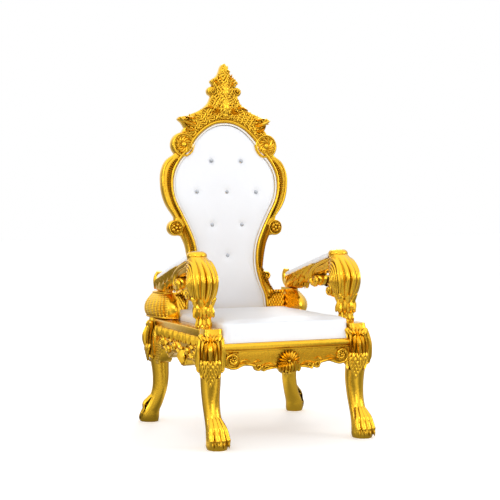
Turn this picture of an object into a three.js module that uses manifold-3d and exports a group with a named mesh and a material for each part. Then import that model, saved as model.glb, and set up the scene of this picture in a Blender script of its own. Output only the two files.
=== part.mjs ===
// A carved and gilded throne with a tall violin-shaped back, scrolled arms and paw feet, upholstered in white
// leather with crystal buttons. Millimetres, +Z up, the front faces -Y, and left and right are the viewer's from the
// front, so that left is -X. The origin is on the floor, under the middle of the throne's box.
import * as THREE from "three";
import { mergeVertices } from "three/addons/utils/BufferGeometryUtils.js";
import Module from "manifold-3d";

const wasm = await Module();
wasm.setup();

// ---- Driving dimensions ----
const GAP = 0.3; // clearance between pieces that touch
const LEG_X = 335; // centre of each leg from the centre plane
const JOINT_X = 295; // inner face of the leg blocks, where the front and back rails butt
const RAIL_OUTER_X = 365;
const FRONT_JOINT_Y = -265; // rear face of the front leg blocks
const BACK_JOINT_Y = 290; // front face of the back leg blocks
const BLOCK_FRONT_Y = -342;
const BLOCK_REAR_Y = 366;
const SIDE_RAIL_TOP = 480;
const FRONT_RAIL_TOP = 422;
const FRONT_RAIL_FACE_Y = -338;
const FRONT_RAIL_REAR_Y = -311;
const BACK_RAIL_FRONT_Y = 302;
const BLOCK_BOTTOM = 335;
const BOARD_TOP = 402;
const BOARD_THICK = 12;
const LEDGE_WIDTH = 14;
const LEDGE_TOP = BOARD_TOP - BOARD_THICK - GAP;
const CUSHION_HALF_WIDTH = 293.4;
const CUSHION_FRONT_Y = -334; // above the front rail, which the cushion laps over
const CUSHION_EDGE_TOP = 504;
const CUSHION_CROWN = 16;

const BACK_LEAN = THREE.MathUtils.degToRad(1.8);
const BACK_THICK = 36;
const BACK_FOOT = SIDE_RAIL_TOP + 2; // the leaning frame's front lower edge
const BACK_FRONT_Y = 316;
const TIP_HEIGHT = 1172; // finial's tip above the back's foot
const ROUNDEL = { x: 208, z: 788, radius: 58 };
const WAIST_SCROLL = { x: 251, z: 405, radius: 37 };
const PIPING_RADIUS = 4.6;
const PANEL_MARGIN = 10.4; // the panel's edge inside the frame's opening
const PANEL_CROWN = 26;
const BUTTON_RADIUS = 9;

const POST_Y = -225;
const KNOB = { y: -150, z: 794, radius: 44 };
const KNOB_PROFILE = [[0, -30], [0.9, -30], [1, -12], [0.75, -1], [0, 0]]; // shares of the radius, and heights
const VOLUTE_FLUTES = 11;
const VOLUTE_CUT = 0.16;
const PAD_HALF_WIDTH = 31;
const PAD_SLOPE = 0.26;
const PAD_THICK = 28;
const PAD_FRONT_Y = -108;
const PAD_REAR_Y = 318;
const PAD_TOP_AT_FRONT = 786;
const ARM_SEAT_Z = 600; // the flat on which the arm's rear end rests

// ---- Materials ----
const gold = new THREE.MeshStandardMaterial({ color: 0xe0a21a, roughness: 0.28, metalness: 0.9 });
const leather = new THREE.MeshStandardMaterial({ color: 0xf4f4f6, roughness: 0.45 });
const crystal = new THREE.MeshStandardMaterial({ color: 0xb9bcc2, roughness: 0.05, metalness: 0.3 });
const plywood = new THREE.MeshStandardMaterial({ color: 0xb08a5a, roughness: 0.8 });

// ---- Solids and meshes ----
const v3 = (x, y, z) => new THREE.Vector3(x, y, z);
const X_AXIS = v3(1, 0, 0);
const Y_AXIS = v3(0, 1, 0);
const Z_AXIS = v3(0, 0, 1);

// A closed geometry from corner points and corner numbers, turned to face outwards.
function closedGeometry(points, faces) {
  let volume = 0;
  for (let i = 0; i < faces.length; i += 3) {
    const [a, b, c] = [points[faces[i]], points[faces[i + 1]], points[faces[i + 2]]];
    volume += a.dot(b.clone().cross(c));
  }
  const turned = volume < 0 ? faces.slice().reverse() : faces;
  return new THREE.BufferGeometry().setFromPoints(points).setIndex(turned);
}

// Loops with as many points each, joined into one closed body. With closed, the last loop joins the first.
function loft(rings, closed = false) {
  const count = rings[0].length;
  const points = rings.flat();
  const faces = [];
  const spans = closed ? rings.length : rings.length - 1;
  for (let i = 0; i < spans; i++) {
    const here = i * count;
    const next = ((i + 1) % rings.length) * count;
    for (let j = 0; j < count; j++) {
      const k = (j + 1) % count;
      faces.push(here + j, here + k, next + k, here + j, next + k, next + j);
    }
  }
  if (!closed) {
    for (const [start, flip] of [[0, true], [(rings.length - 1) * count, false]]) {
      const middle = points.length;
      const ring = points.slice(start, start + count);
      points.push(ring.reduce((sum, p) => sum.add(p), v3(0, 0, 0)).divideScalar(count));
      for (let j = 0; j < count; j++) {
        const k = (j + 1) % count;
        faces.push(middle, start + (flip ? k : j), start + (flip ? j : k));
      }
    }
  }
  return closedGeometry(points, faces);
}

function solidOf(geometry) {
  const plain = new THREE.BufferGeometry().setAttribute("position", geometry.getAttribute("position").clone());
  plain.setIndex(geometry.index);
  const merged = mergeVertices(plain, 1e-3);
  const corners = merged.index.array;
  const kept = [];
  for (let i = 0; i < corners.length; i += 3) {
    const [a, b, c] = [corners[i], corners[i + 1], corners[i + 2]];
    if (a !== b && b !== c && c !== a) kept.push(a, b, c);
  }
  const vertProperties = merged.attributes.position.array;
  return new wasm.Manifold(new wasm.Mesh({ numProp: 3, vertProperties, triVerts: new Uint32Array(kept) }));
}

function joined(geometries) {
  return geometries.map(solidOf).reduce((sum, solid) => sum.add(solid));
}

// A solid's outer skin as a geometry, without slivers, and without the hollows that a join can seal inside.
function geometryOf(solid) {
  const mesh = solid.simplify(0.8).getMesh();
  const owner = Array.from({ length: mesh.numVert }, (_, i) => i);
  const find = (i) => {
    let root = i;
    while (owner[root] !== root) root = owner[root];
    owner[i] = root;
    return root;
  };
  const corners = mesh.triVerts;
  for (let i = 0; i < corners.length; i += 3) {
    owner[find(corners[i + 1])] = find(corners[i]);
    owner[find(corners[i + 2])] = find(corners[i]);
  }
  const points = Array.from({ length: mesh.numVert }, (_, i) => {
    const start = i * mesh.numProp;
    return v3(...mesh.vertProperties.subarray(start, start + 3));
  });
  const shells = new Map();
  for (let i = 0; i < corners.length; i += 3) {
    const root = find(corners[i]);
    if (!shells.has(root)) shells.set(root, []);
    shells.get(root).push(corners[i], corners[i + 1], corners[i + 2]);
  }
  const skin = [...shells.values()].sort((a, b) => b.length - a.length)[0];
  const numbers = new Map();
  const faces = skin.map((corner) => {
    if (!numbers.has(corner)) numbers.set(corner, numbers.size);
    return numbers.get(corner);
  });
  return closedGeometry([...numbers.keys()].map((corner) => points[corner]), faces);
}

function box(low, high) {
  const size = high.map((value, i) => value - low[i]);
  const middle = high.map((value, i) => (value + low[i]) / 2);
  return new THREE.BoxGeometry(...size).translate(...middle);
}

function piece(name, geometry, material) {
  const mesh = new THREE.Mesh(geometry, material);
  mesh.name = name;
  return mesh;
}

// The same piece on both sides of the centre plane: built on +X, mirrored on -X.
function pair(name, geometry, material) {
  const right = piece(name + "_right", geometry, material);
  const left = piece(name + "_left", geometry, material);
  left.scale.x = -1;
  return [left, right];
}

// ---- Shapes that repeat in the carving ----
const clamp01 = (t) => Math.min(1, Math.max(0, t));

// A loop around a centre in the plane of u and v. power 2 is an ellipse, and higher powers are squarer. A positive
// depth cuts flutes between crests that start on the u axis, and a negative one puts the flutes where the crests were.
function sectionRing(centre, u, v, half, { sides = 12, power = 2, flutes = 0, depth = 0 } = {}) {
  return Array.from({ length: sides }, (_, i) => {
    const angle = (2 * Math.PI * i) / sides;
    const cut = 1 - Math.abs(depth) * (0.5 - 0.5 * Math.sign(depth) * Math.cos(flutes * angle));
    const along = (value) => Math.sign(value) * Math.abs(value) ** (2 / power) * cut;
    return centre
      .clone()
      .addScaledVector(u, along(Math.cos(angle)) * half[0])
      .addScaledVector(v, along(Math.sin(angle)) * half[1]);
  });
}

// A turned or carved upright from level rows of [z, x, y, half x, half y, power, flute depth], turned about Z.
function upright(rows, { sides = 12, flutes = 0, turn = 0 } = {}) {
  const u = X_AXIS.clone().applyAxisAngle(Z_AXIS, turn);
  const v = Y_AXIS.clone().applyAxisAngle(Z_AXIS, turn);
  return loft(rows.map(([z, x, y, halfX, halfY, power = 2, depth = 0]) => sectionRing(
    v3(x, y, z), u, v, [halfX, halfY], { sides, power, flutes, depth })));
}

// A bar along points that lie near a plane. size(share) gives its half-width in the plane and its half-height
// along the plane's normal.
function bar(points, normal, size, sides = 6) {
  const rings = points.map((point, i) => {
    const before = points[Math.max(0, i - 1)];
    const after = points[Math.min(points.length - 1, i + 1)];
    const across = after.clone().sub(before).cross(normal).normalize();
    const [halfWidth, halfHeight] = size(i / (points.length - 1));
    return sectionRing(point, across, normal, [halfWidth, halfHeight], { sides });
  });
  return loft(rings);
}

// A leaf from base to tip: widest a third of the way along, arched away from its ground, with a pointed tip.
function leaf(base, tip, normal, halfWidth, halfHeight, arch = 0, steps = 3) {
  const points = Array.from({ length: steps + 1 }, (_, i) => {
    const t = i / steps;
    return base.clone().lerp(tip, t).addScaledVector(normal, arch * Math.sin(Math.PI * t));
  });
  return bar(points, normal, (t) => {
    const swell = Math.max(0.12, Math.sin(Math.PI * (0.18 + 0.82 * t)));
    return [halfWidth * swell, halfHeight * Math.max(0.3, swell)];
  }, 4);
}

// A scroll that winds inwards in the plane of u and v, from radius to a fifth of it.
function scroll(centre, u, v, radius, thick, { turns = 1.2, start = 0, hand = 1, steps = 9 } = {}) {
  const normal = u.clone().cross(v);
  const points = Array.from({ length: steps + 1 }, (_, i) => {
    const t = i / steps;
    const reach = radius * (1 - 0.8 * t);
    const angle = start + hand * 2 * Math.PI * turns * t;
    return centre
      .clone()
      .addScaledVector(u, reach * Math.cos(angle))
      .addScaledVector(v, reach * Math.sin(angle));
  });
  return bar(points, normal, (t) => [radius * 0.22 * (1 - 0.4 * t), thick], 4);
}

function dome(centre, half, sides = 10, rings = 5) {
  return new THREE.SphereGeometry(1, sides, rings).scale(...half).translate(...centre);
}

// Points of a smooth curve through a few [x, z] points, without its last point.
function curveThrough(points, perSpan) {
  const curve = new THREE.SplineCurve(points.map(([x, z]) => new THREE.Vector2(x, z)));
  return curve.getPoints(perSpan * (points.length - 1)).slice(0, -1);
}

function arcPoints(centre, radius, from, to, steps) {
  return Array.from({ length: steps }, (_, i) => {
    const angle = from + ((to - from) * i) / steps;
    return new THREE.Vector2(centre[0] + radius * Math.cos(angle), centre[1] + radius * Math.sin(angle));
  });
}

function mirroredLoop(half) {
  const other = half
    .filter((p) => p.x > 1e-6)
    .reverse()
    .map((p) => new THREE.Vector2(-p.x, p.y));
  return [...half, ...other];
}

// A plate with an outline in x and z, from front to rear along y. Its holes are drawn the same way round.
function plate(outline, front, rear, holes = []) {
  const shape = new THREE.Shape(outline);
  shape.holes = holes.map((hole) => new THREE.Path(hole.slice().reverse()));
  return new THREE.ExtrudeGeometry(shape, { depth: rear - front, bevelEnabled: false })
    .rotateX(Math.PI / 2)
    .translate(0, rear, 0);
}

// ---- The back ----
// A bar along a closed loop in x and z, at a depth y.
function roundBar(loop, y, half, sides) {
  const rings = loop.map((p, i) => {
    const after = loop[(i + 1) % loop.length];
    const before = loop[(i + loop.length - 1) % loop.length];
    const across = v3(after.y - before.y, 0, before.x - after.x).normalize();
    return sectionRing(v3(p.x, y, p.y), across, Y_AXIS, half, { sides });
  });
  return loft(rings, true);
}

// Half outlines of the back from its top to its foot, as x and height above the foot.
function backOuterHalf() {
  const crest = curveThrough([[0, TIP_HEIGHT], [8, 1168], [32, 1122], [47, 1100]], 1);
  const leafTips = curveThrough([[64, 1094], [69, 1088], [57, 1068]], 1);
  const curl = arcPoints([63, 1040], 22, 1.9, -1.3, 5);
  const sweep = curveThrough([[67, 1014], [79, 988], [112, 957], [172, 930], [200, 918]], 1);
  const ear = curveThrough([[228, 917], [235, 908], [215, 890], [197, 862]], 1);
  const roundel = arcPoints([ROUNDEL.x, ROUNDEL.z], ROUNDEL.radius, 1.35, -0.75, 6);
  const belly = curveThrough([[254, 742], [290, 716], [313, 668], [317, 612], [298, 522], [249, 446]], 1);
  const waist = arcPoints([WAIST_SCROLL.x, WAIST_SCROLL.z], WAIST_SCROLL.radius, 1.5, -1.9, 8);
  const neck = curveThrough([[221, 368], [203, 330], [190, 270], [183, 206]], 1);
  const knuckle = arcPoints([204, 176], 23, 2.0, -1.0, 5);
  const foot = curveThrough([[222, 142], [236, 112], [262, 96], [JOINT_X - GAP, 84]], 1);
  return [
    ...crest, ...leafTips, ...curl, ...sweep, ...ear, ...roundel, ...belly, ...waist, ...neck, ...knuckle, ...foot,
    new THREE.Vector2(JOINT_X - GAP, 84),
    new THREE.Vector2(JOINT_X - GAP, 0),
  ];
}

const OPENING = [
  [0, 893], [84, 870], [143, 820], [184, 762], [226, 714], [254, 660], [262, 600], [252, 540], [218, 470],
  [182, 398], [156, 330], [147, 265], [151, 205], [170, 140], [190, 90], [201, 14],
];

function backOpeningHalf() {
  return [...curveThrough(OPENING, 1), new THREE.Vector2(201, 14)];
}

// The opening's loop, moved inwards by a distance.
function openingLoop(inset) {
  const loop = mirroredLoop(backOpeningHalf());
  return loop.map((p, i) => {
    const before = loop[(i + loop.length - 1) % loop.length];
    const after = loop[(i + 1) % loop.length];
    const first = p.clone().sub(before).normalize();
    const second = after.clone().sub(p).normalize();
    const normal = new THREE.Vector2(-(first.y + second.y), first.x + second.x).normalize();
    const corner = Math.max(0.5, normal.x * -first.y + normal.y * first.x);
    return p.clone().addScaledVector(normal, (-inset) / corner);
  });
}

const onBack = (x, z, y = 0) => v3(x, y, z);
const OUTWARD = v3(0, -1, 0);

// Both halves of something carved on the back, from a function of the side.
const bothSides = (make) => [1, -1].flatMap((side) => make(side));

function crestCarving() {
  const parts = [];
  for (const [z, halfWidth, halfHeight] of [[1000, 27, 18], [1066, 22, 17], [1118, 15, 14]]) {
    parts.push(leaf(onBack(0, z - 64), onBack(0, z + 44), OUTWARD, halfWidth, halfHeight, 8));
  }
  parts.push(dome([0, -2, 936], [30, 16, 34], 8, 5));
  parts.push(...bothSides((side) => [
    leaf(onBack(side * 14, 960), onBack(side * 74, 1046), OUTWARD, 16, 14, 6, 2),
    leaf(onBack(side * 10, 1022), onBack(side * 66, 1090), OUTWARD, 13, 12, 5, 2),
    ...[0, 1, 2, 3].map((i) => {
      const base = onBack(side * (24 + 38 * i), 906 - 8 * i * i);
      const tip = onBack(side * (60 + 41 * i), 970 - 21 * i);
      return leaf(base, tip, OUTWARD, 17, 14, 5, 2);
    }),
    leaf(onBack(side * 166, 866), onBack(side * 236, 907), OUTWARD, 18, 16, 6, 2),
  ]));
  return parts;
}

function rosette(side, { x, z, radius }, hand) {
  const disc = new THREE.CylinderGeometry(radius * 0.9, radius * 0.5, 22, 12);
  return [
    disc.translate(side * x, 0, z),
    scroll(onBack(side * x, z, -1), v3(side, 0, 0), Z_AXIS, radius * 0.86, 15,
      { start: 2.2, turns: 1.25, steps: 11, hand }),
  ];
}

// Slanting leaves along a stile between the opening and the outer edge, then ribs down to the seat.
function stileCarving(side) {
  const along = (points) => new THREE.SplineCurve(points.map(([x, z]) => new THREE.Vector2(x, z)));
  const belly = along([[262, 722], [288, 660], [291, 600], [274, 528], [236, 452]]);
  const leaves = 5;
  const parts = Array.from({ length: leaves }, (_, i) => {
    const from = belly.getPoint(i / leaves);
    const to = belly.getPoint(Math.min(1, (i + 1.25) / leaves));
    return leaf(onBack(side * from.x, from.y), onBack(side * to.x, to.y), OUTWARD, 17, 13, 3, 2);
  });
  const neck = along([[208, 392], [182, 330], [169, 266], [168, 200]]);
  const ribs = 4;
  for (let i = 0; i < ribs; i++) {
    const middle = neck.getPoint((i + 0.4) / ribs);
    const low = onBack(side * (middle.x - 15), middle.y - 18);
    const high = onBack(side * (middle.x + 15), middle.y + 14);
    parts.push(leaf(low, high, OUTWARD, 11, 10, 3, 2));
  }
  parts.push(leaf(onBack(side * 172, 196), onBack(side * 212, 108), OUTWARD, 14, 12, 3, 2));
  for (const x of [224, 250, 276]) {
    parts.push(leaf(onBack(side * x, 2), onBack(side * (x - 6), 290 - 0.72 * x), OUTWARD, 13, 11, 3, 2));
  }
  return parts;
}

// A round fillet beside the opening.
function openingFillet() {
  return roundBar(openingLoop(-7), 1, [5.5, 7], 4);
}

function backFrame() {
  const outline = mirroredLoop(backOuterHalf());
  const body = solidOf(plate(outline, 0, BACK_THICK, [openingLoop(0)]));
  const carving = [
    openingFillet(),
    ...crestCarving(),
    ...bothSides((side) => rosette(side, ROUNDEL, 1)),
    ...bothSides((side) => rosette(side, WAIST_SCROLL, -1)),
    ...bothSides(stileCarving),
  ];
  const clearance = solidOf(plate(openingLoop(0), -60, BACK_THICK + 20));
  const footCut = solidOf(box([-400, -80, -80], [400, 120, 0]));
  const sideCuts = [1, -1].map((side) => {
    const [near, far] = [side * (JOINT_X - GAP), side * 420].sort((a, b) => a - b);
    return solidOf(box([near, -80, -10], [far, 120, 200]));
  });
  return [clearance, footCut, ...sideCuts].reduce((rest, cut) => rest.subtract(cut), body.add(joined(carving)));
}

// How far the panel's face stands in front of its edge, at a share of the way from the edge to the middle.
const panelCrown = (share) => PANEL_CROWN * Math.sin((Math.PI / 2) * clamp01(share * 1.6)) ** 0.8;

const PANEL_MIDDLE_Z = 430;

function backPanel(buttons) {
  const edge = openingLoop(PANEL_MARGIN);
  const shares = [0, 0.1, 0.3, 0.65];
  const ringAt = (share, y) => edge.map((p) => v3(
    p.x * (1 - share), y, PANEL_MIDDLE_Z + (p.y - PANEL_MIDDLE_Z) * (1 - share)));
  const rings = [ringAt(0, 24), ...shares.map((share) => ringAt(share, 8 - panelCrown(share)))];
  let panel = solidOf(loft(rings));
  for (const { x, z, floor } of buttons) {
    const pocket = new THREE.CylinderGeometry(BUTTON_RADIUS + 1, BUTTON_RADIUS + 8, 40, 8);
    panel = panel.subtract(solidOf(pocket.translate(x, floor - 20, z)));
  }
  return panel;
}

// The share of the way from the panel's edge to its middle at a point, and the face's y there.
function panelFaceY(x, z) {
  const edge = openingLoop(PANEL_MARGIN);
  const towards = new THREE.Vector2(x, z - PANEL_MIDDLE_Z);
  const angle = Math.atan2(towards.y, towards.x);
  const reach = edge.reduce((best, p) => {
    const off = Math.abs(Math.atan2(Math.sin(Math.atan2(p.y - PANEL_MIDDLE_Z, p.x) - angle),
      Math.cos(Math.atan2(p.y - PANEL_MIDDLE_Z, p.x) - angle)));
    return off < best.off ? { off, length: Math.hypot(p.x, p.y - PANEL_MIDDLE_Z) } : best;
  }, { off: 9, length: 1 }).length;
  return 8 - panelCrown(1 - towards.length() / reach);
}

// Two, three, two and one crystals in a diamond.
function buttonPlaces() {
  const rows = [[715, 2], [571, 3], [418, 2], [275, 1]];
  const spacing = 149;
  return rows.flatMap(([z, count]) => Array.from({ length: count }, (_, i) => {
    const x = (i - (count - 1) / 2) * spacing;
    return { x, z, floor: panelFaceY(x, z) + 5 };
  }));
}

function crystalButton() {
  const profile = [[0, 0], [BUTTON_RADIUS, 0], [BUTTON_RADIUS, 2.5], [BUTTON_RADIUS * 0.6, 7], [0, 7]];
  return new THREE.LatheGeometry(profile.map(([r, h]) => new THREE.Vector2(r, h)), 8);
}

function backPiping() {
  return roundBar(openingLoop(PIPING_RADIUS + 2 * GAP), 4, [PIPING_RADIUS, PIPING_RADIUS], 5);
}

function buildBack() {
  const back = new THREE.Group();
  back.position.set(0, BACK_FRONT_Y, BACK_FOOT);
  back.rotation.x = -BACK_LEAN;
  const buttons = buttonPlaces();
  back.add(
    piece("back_frame", geometryOf(backFrame()), gold),
    piece("back_panel", geometryOf(backPanel(buttons)), leather),
    piece("back_piping", backPiping(), leather),
    piece("back_rear_cover", plate(openingLoop(1), BACK_THICK - 10, BACK_THICK - 3), leather),
  );
  buttons.forEach(({ x, z, floor }, i) => {
    const button = piece("crystal_button_" + (i + 1), crystalButton(), crystal);
    button.position.set(x, floor - GAP, z);
    button.rotation.x = Math.PI;
    back.add(button);
  });
  return back;
}

// ---- Legs ----
const FLOOR_CUT = box([-600, -600, -60], [600, 600, 0]);
const LEG_SIDES = 16;
const LEG_FLUTES = 8; // four of them on the front: the clefts between toes below, and leaves at the knee
const PAW = [
  [0, 0.9, 0.16], [14, 1.04, 0.2], [40, 1.02, 0.2], [66, 0.9, 0.16], [96, 0.84, 0.08],
];

// The rows of a paw at the foot of a leg, with half sizes and the centre's path up the ankle.
function pawRows(foot, ankle, half) {
  return PAW.map(([z, share, cleft]) => {
    const rise = (z / 130) ** 2;
    const x = foot[0] + (ankle[0] - foot[0]) * rise;
    const y = foot[1] + (ankle[1] - foot[1]) * rise;
    return [z, x, y, half[0] * share, half[1] * share, 2.3, -cleft];
  });
}

function frontLeg() {
  const rows = [
    ...pawRows([LEG_X, -377], [LEG_X, -326], [46, 54]),
    [122, LEG_X, -326, 37, 38], [150, LEG_X, -314, 36, 37], [205, LEG_X, -304, 38, 40], [262, LEG_X, -303, 42, 44],
    [286, LEG_X, -307, 44, 48, 2, 0.02], [312, 337, -312, 46, 52, 2, 0.12], [336, 339, -317, 48, 55, 2, -0.12],
    [360, 341, -321, 49, 58, 2, 0.12], [384, 342, -323, 50, 60, 2, -0.12], [396, 342, -322, 50, 59, 2, 0.14],
    [430, 339, -315, 46, 52, 2, 0.16], [456, 336, -309, 42, 46, 2, 0.12], [470, 334, -305, 39, 41, 3],
    [485, 333, -303, 38, 38, 5],
  ];
  const shaft = upright(rows, { sides: LEG_SIDES, flutes: LEG_FLUTES });
  const block = box([JOINT_X, BLOCK_FRONT_Y, BLOCK_BOTTOM], [371, FRONT_JOINT_Y, 485]);
  const railSide = solidOf(box([100, -500, 318], [JOINT_X, 0, 600]));
  const rearSide = solidOf(box([100, FRONT_JOINT_Y, 318], [600, 0, 600]));
  return [solidOf(FLOOR_CUT), railSide, rearSide].reduce((rest, cut) => rest.subtract(cut), joined([shaft, block]));
}

const KNEE_TURN = Math.PI * 0.75; // the back legs' knees and paws point outwards and backwards

function backLeg() {
  const rows = [
    ...pawRows([372, 367], [336, 341], [45, 52]),
    [122, 336, 341, 36, 36], [150, 328, 336, 35, 35], [205, 326, 333, 36, 37], [258, 329, 332, 40, 40],
    [290, 333, 332, 43, 44, 2, 0.1], [318, 338, 333, 47, 49, 2, -0.14], [345, 341, 334, 49, 52, 2, 0.14],
    [372, 342, 335, 49, 52, 2, 0.16], [412, 340, 333, 46, 48, 2, 0.16], [446, 336, 330, 42, 43, 2, 0.12],
    [SIDE_RAIL_TOP, 333, 328, 38, 38, 5],
  ];
  const shaft = upright(rows, { sides: LEG_SIDES, flutes: LEG_FLUTES, turn: KNEE_TURN + Math.PI / 2 });
  const block = box([JOINT_X, BACK_JOINT_Y, BLOCK_BOTTOM], [371, BLOCK_REAR_Y, SIDE_RAIL_TOP]);
  const frontSide = solidOf(box([100, 0, 270], [600, BACK_JOINT_Y, 600]));
  const railSide = solidOf(box([100, 0, 270], [JOINT_X, 600, 600]));
  return [solidOf(FLOOR_CUT), frontSide, railSide].reduce((rest, cut) => rest.subtract(cut), joined([shaft, block]));
}

// ---- Rails ----
const APRON_HALF = [
  [0, 283], [26, 288], [46, 308], [92, 306], [112, 300], [119, 317], [138, 303], [152, 320], [192, 329],
  [244, 314], [JOINT_X - GAP, 330],
];

function frontRail() {
  const end = JOINT_X - GAP;
  const lower = curveThrough(APRON_HALF, 1);
  const half = [...lower, new THREE.Vector2(end, 330), new THREE.Vector2(end, FRONT_RAIL_TOP - 6)];
  const loop = [...half, ...half.slice().reverse().map((p) => new THREE.Vector2(-p.x, p.y))]
    .filter((p, i, all) => i === 0 || p.distanceTo(all[i - 1]) > 1e-6);
  const body = plate(loop, FRONT_RAIL_FACE_Y, FRONT_RAIL_REAR_Y);
  const upperFillet = box([-end, -346, 388], [end, FRONT_RAIL_REAR_Y, FRONT_RAIL_TOP]);
  const moulding = loft([-end, end].map((x) => sectionRing(
    v3(x, -346, 406), Y_AXIS, Z_AXIS, [9, 14], { sides: 8 })));
  const ledge = box([-end, FRONT_RAIL_REAR_Y - 1, 368], [end, FRONT_RAIL_REAR_Y + LEDGE_WIDTH, LEDGE_TOP]);
  const face = (x, z) => v3(x, FRONT_RAIL_FACE_Y, z);
  const carving = bothSides((side) => {
    const sideways = v3(side, 0, 0);
    return [
      scroll(face(side * 256, 354), sideways, Z_AXIS, 32, 12, { start: 0.4, turns: 1.2, hand: -1, steps: 8 }),
      leaf(face(side * 240, 336), face(side * 164, 331), OUTWARD, 9, 9, 2, 2),
      scroll(face(side * 150, 328), sideways, Z_AXIS, 15, 10, { start: 0.4, turns: 0.9, steps: 5 }),
      leaf(face(side * 118, 316), face(side * 48, 314), OUTWARD, 9, 9, 2, 2),
    ];
  });
  for (let i = -1; i <= 1; i++) {
    const angle = (i * Math.PI) / 4;
    const fan = v3(Math.sin(angle), 0, Math.cos(angle));
    carving.push(leaf(face(0, 334), face(0, 334).addScaledVector(fan, 46), OUTWARD, 11, 12, 5, 2));
  }
  for (const [reach, foot, halfWidth] of [[-34, 298, 10], [0, 282, 17], [34, 298, 10]]) {
    carving.push(leaf(face(reach * 0.3, 348), face(reach, foot), OUTWARD, halfWidth, 13, 6));
  }
  const top = solidOf(box([-600, -500, FRONT_RAIL_TOP], [600, 0, 700]));
  return joined([body, upperFillet, moulding, ledge, ...carving]).subtract(top);
}

// The right side rail, drawn along Y and turned to lie between the legs.
function sideRail() {
  const [near, far] = [FRONT_JOINT_Y + GAP, BACK_JOINT_Y - GAP];
  const lower = curveThrough([
    [near, 340], [near + 50, 324], [-130, 344], [-92, 326], [-62, 304], [-30, 338], [30, 346], [84, 330],
    [120, 322], [152, 346], [205, 350], [230, 302], [252, 278], [far, 286],
  ], 1);
  const loop = [...lower, new THREE.Vector2(far, 286), new THREE.Vector2(far, SIDE_RAIL_TOP),
    new THREE.Vector2(near, SIDE_RAIL_TOP)];
  // plate() draws x against z: a quarter turn about Z lays x along Y.
  const body = plate(loop, -RAIL_OUTER_X, -(JOINT_X + 8)).rotateZ(Math.PI / 2);
  const upper = box([JOINT_X, near, 446], [RAIL_OUTER_X + 5, far, SIDE_RAIL_TOP - 1]);
  const ledge = box([JOINT_X - LEDGE_WIDTH, near, 368], [JOINT_X + 10, far, LEDGE_TOP]);
  const face = (y, z) => v3(RAIL_OUTER_X, y, z);
  const carving = [];
  for (const [middle, hand] of [[-150, 1], [196, -1]]) {
    carving.push(scroll(face(middle, 398), Y_AXIS, Z_AXIS, 32, 10, { start: 1.2, hand, turns: 1.2, steps: 8 }));
  }
  for (const [from, to, z] of [[-110, -10, 424], [160, 60, 424], [-120, -20, 372], [170, 70, 366]]) {
    carving.push(leaf(face(from, z), face(to, z - 16), X_AXIS, 14, 9, 3, 2));
  }
  carving.push(
    leaf(face(-66, 362), face(-62, 304), X_AXIS, 16, 10, 4, 2),
    leaf(face(254, 372), face(254, 286), X_AXIS, 20, 12, 5, 2),
  );
  const keep = solidOf(box([200, near, 200], [600, far, SIDE_RAIL_TOP]));
  return joined([body, upper, ledge, ...carving]).intersect(keep);
}

function backRail() {
  const end = JOINT_X - GAP;
  const board = box([-end, BACK_RAIL_FRONT_Y, 360], [end, BLOCK_REAR_Y - 4, SIDE_RAIL_TOP]);
  const reach = JOINT_X - LEDGE_WIDTH - 1;
  const ledge = box([-reach, BACK_RAIL_FRONT_Y - LEDGE_WIDTH, 368], [reach, BACK_RAIL_FRONT_Y + 1, LEDGE_TOP]);
  return joined([board, ledge]);
}

// ---- Arms ----
const ARM_INWARD = 12; // the arms close in towards the back by this much
const armX = (y) => LEG_X - ARM_INWARD * clamp01((y - KNOB.y) / (PAD_REAR_Y - KNOB.y));
const padTopZ = (y) => PAD_TOP_AT_FRONT - PAD_SLOPE * (y - PAD_FRONT_Y);
const armTopZ = (y) => padTopZ(y) - PAD_THICK - GAP;

function armVolute() {
  const rows = [
    [574, LEG_X, POST_Y, 26, 30], [602, LEG_X, -224, 41, 58], [636, LEG_X, -217, 52, 88], [676, LEG_X, -211, 56, 104],
    [712, LEG_X, -200, 54, 98], [748, LEG_X, -178, 47, 72], [770, LEG_X, KNOB.y - 4, 38, 40],
  ];
  const fluted = rows.map((row) => [...row, 2, VOLUTE_CUT]);
  return upright(fluted, { sides: 2 * VOLUTE_FLUTES, flutes: VOLUTE_FLUTES });
}

function armPost() {
  const rows = [
    [SIDE_RAIL_TOP + GAP, 27], [491, 27], [498, 22], [520, 23], [556, 32], [584, 23], [600, 20],
  ];
  const turned = upright(rows.map(([z, radius]) => [z, LEG_X, POST_Y, radius, radius]), { sides: 10 });
  const leaves = Array.from({ length: 4 }, (_, i) => {
    const angle = (i * Math.PI) / 2 + Math.PI / 4;
    const out = v3(Math.cos(angle), Math.sin(angle), 0);
    const at = (reach, z) => v3(LEG_X, POST_Y, z).addScaledVector(out, reach);
    return leaf(at(26, 580), at(24, 508), out, 15, 9, 8, 3);
  });
  return [turned, ...leaves];
}

function armRail() {
  const rows = [
    [-165, 748, 24, 36], [-100, 727, 28, 37], [0, 702, 27, 37], [100, 674, 27, 37], [200, 645, 29, 37],
    [330, 626, 24, 35], [358, 628, 16, 28],
  ];
  const rings = rows.map(([y, z, halfHeight, halfWidth]) => sectionRing(
    v3(armX(y), y, z), X_AXIS, Z_AXIS, [halfWidth, halfHeight], { sides: 8, power: 3 }));
  return loft(rings);
}

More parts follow.
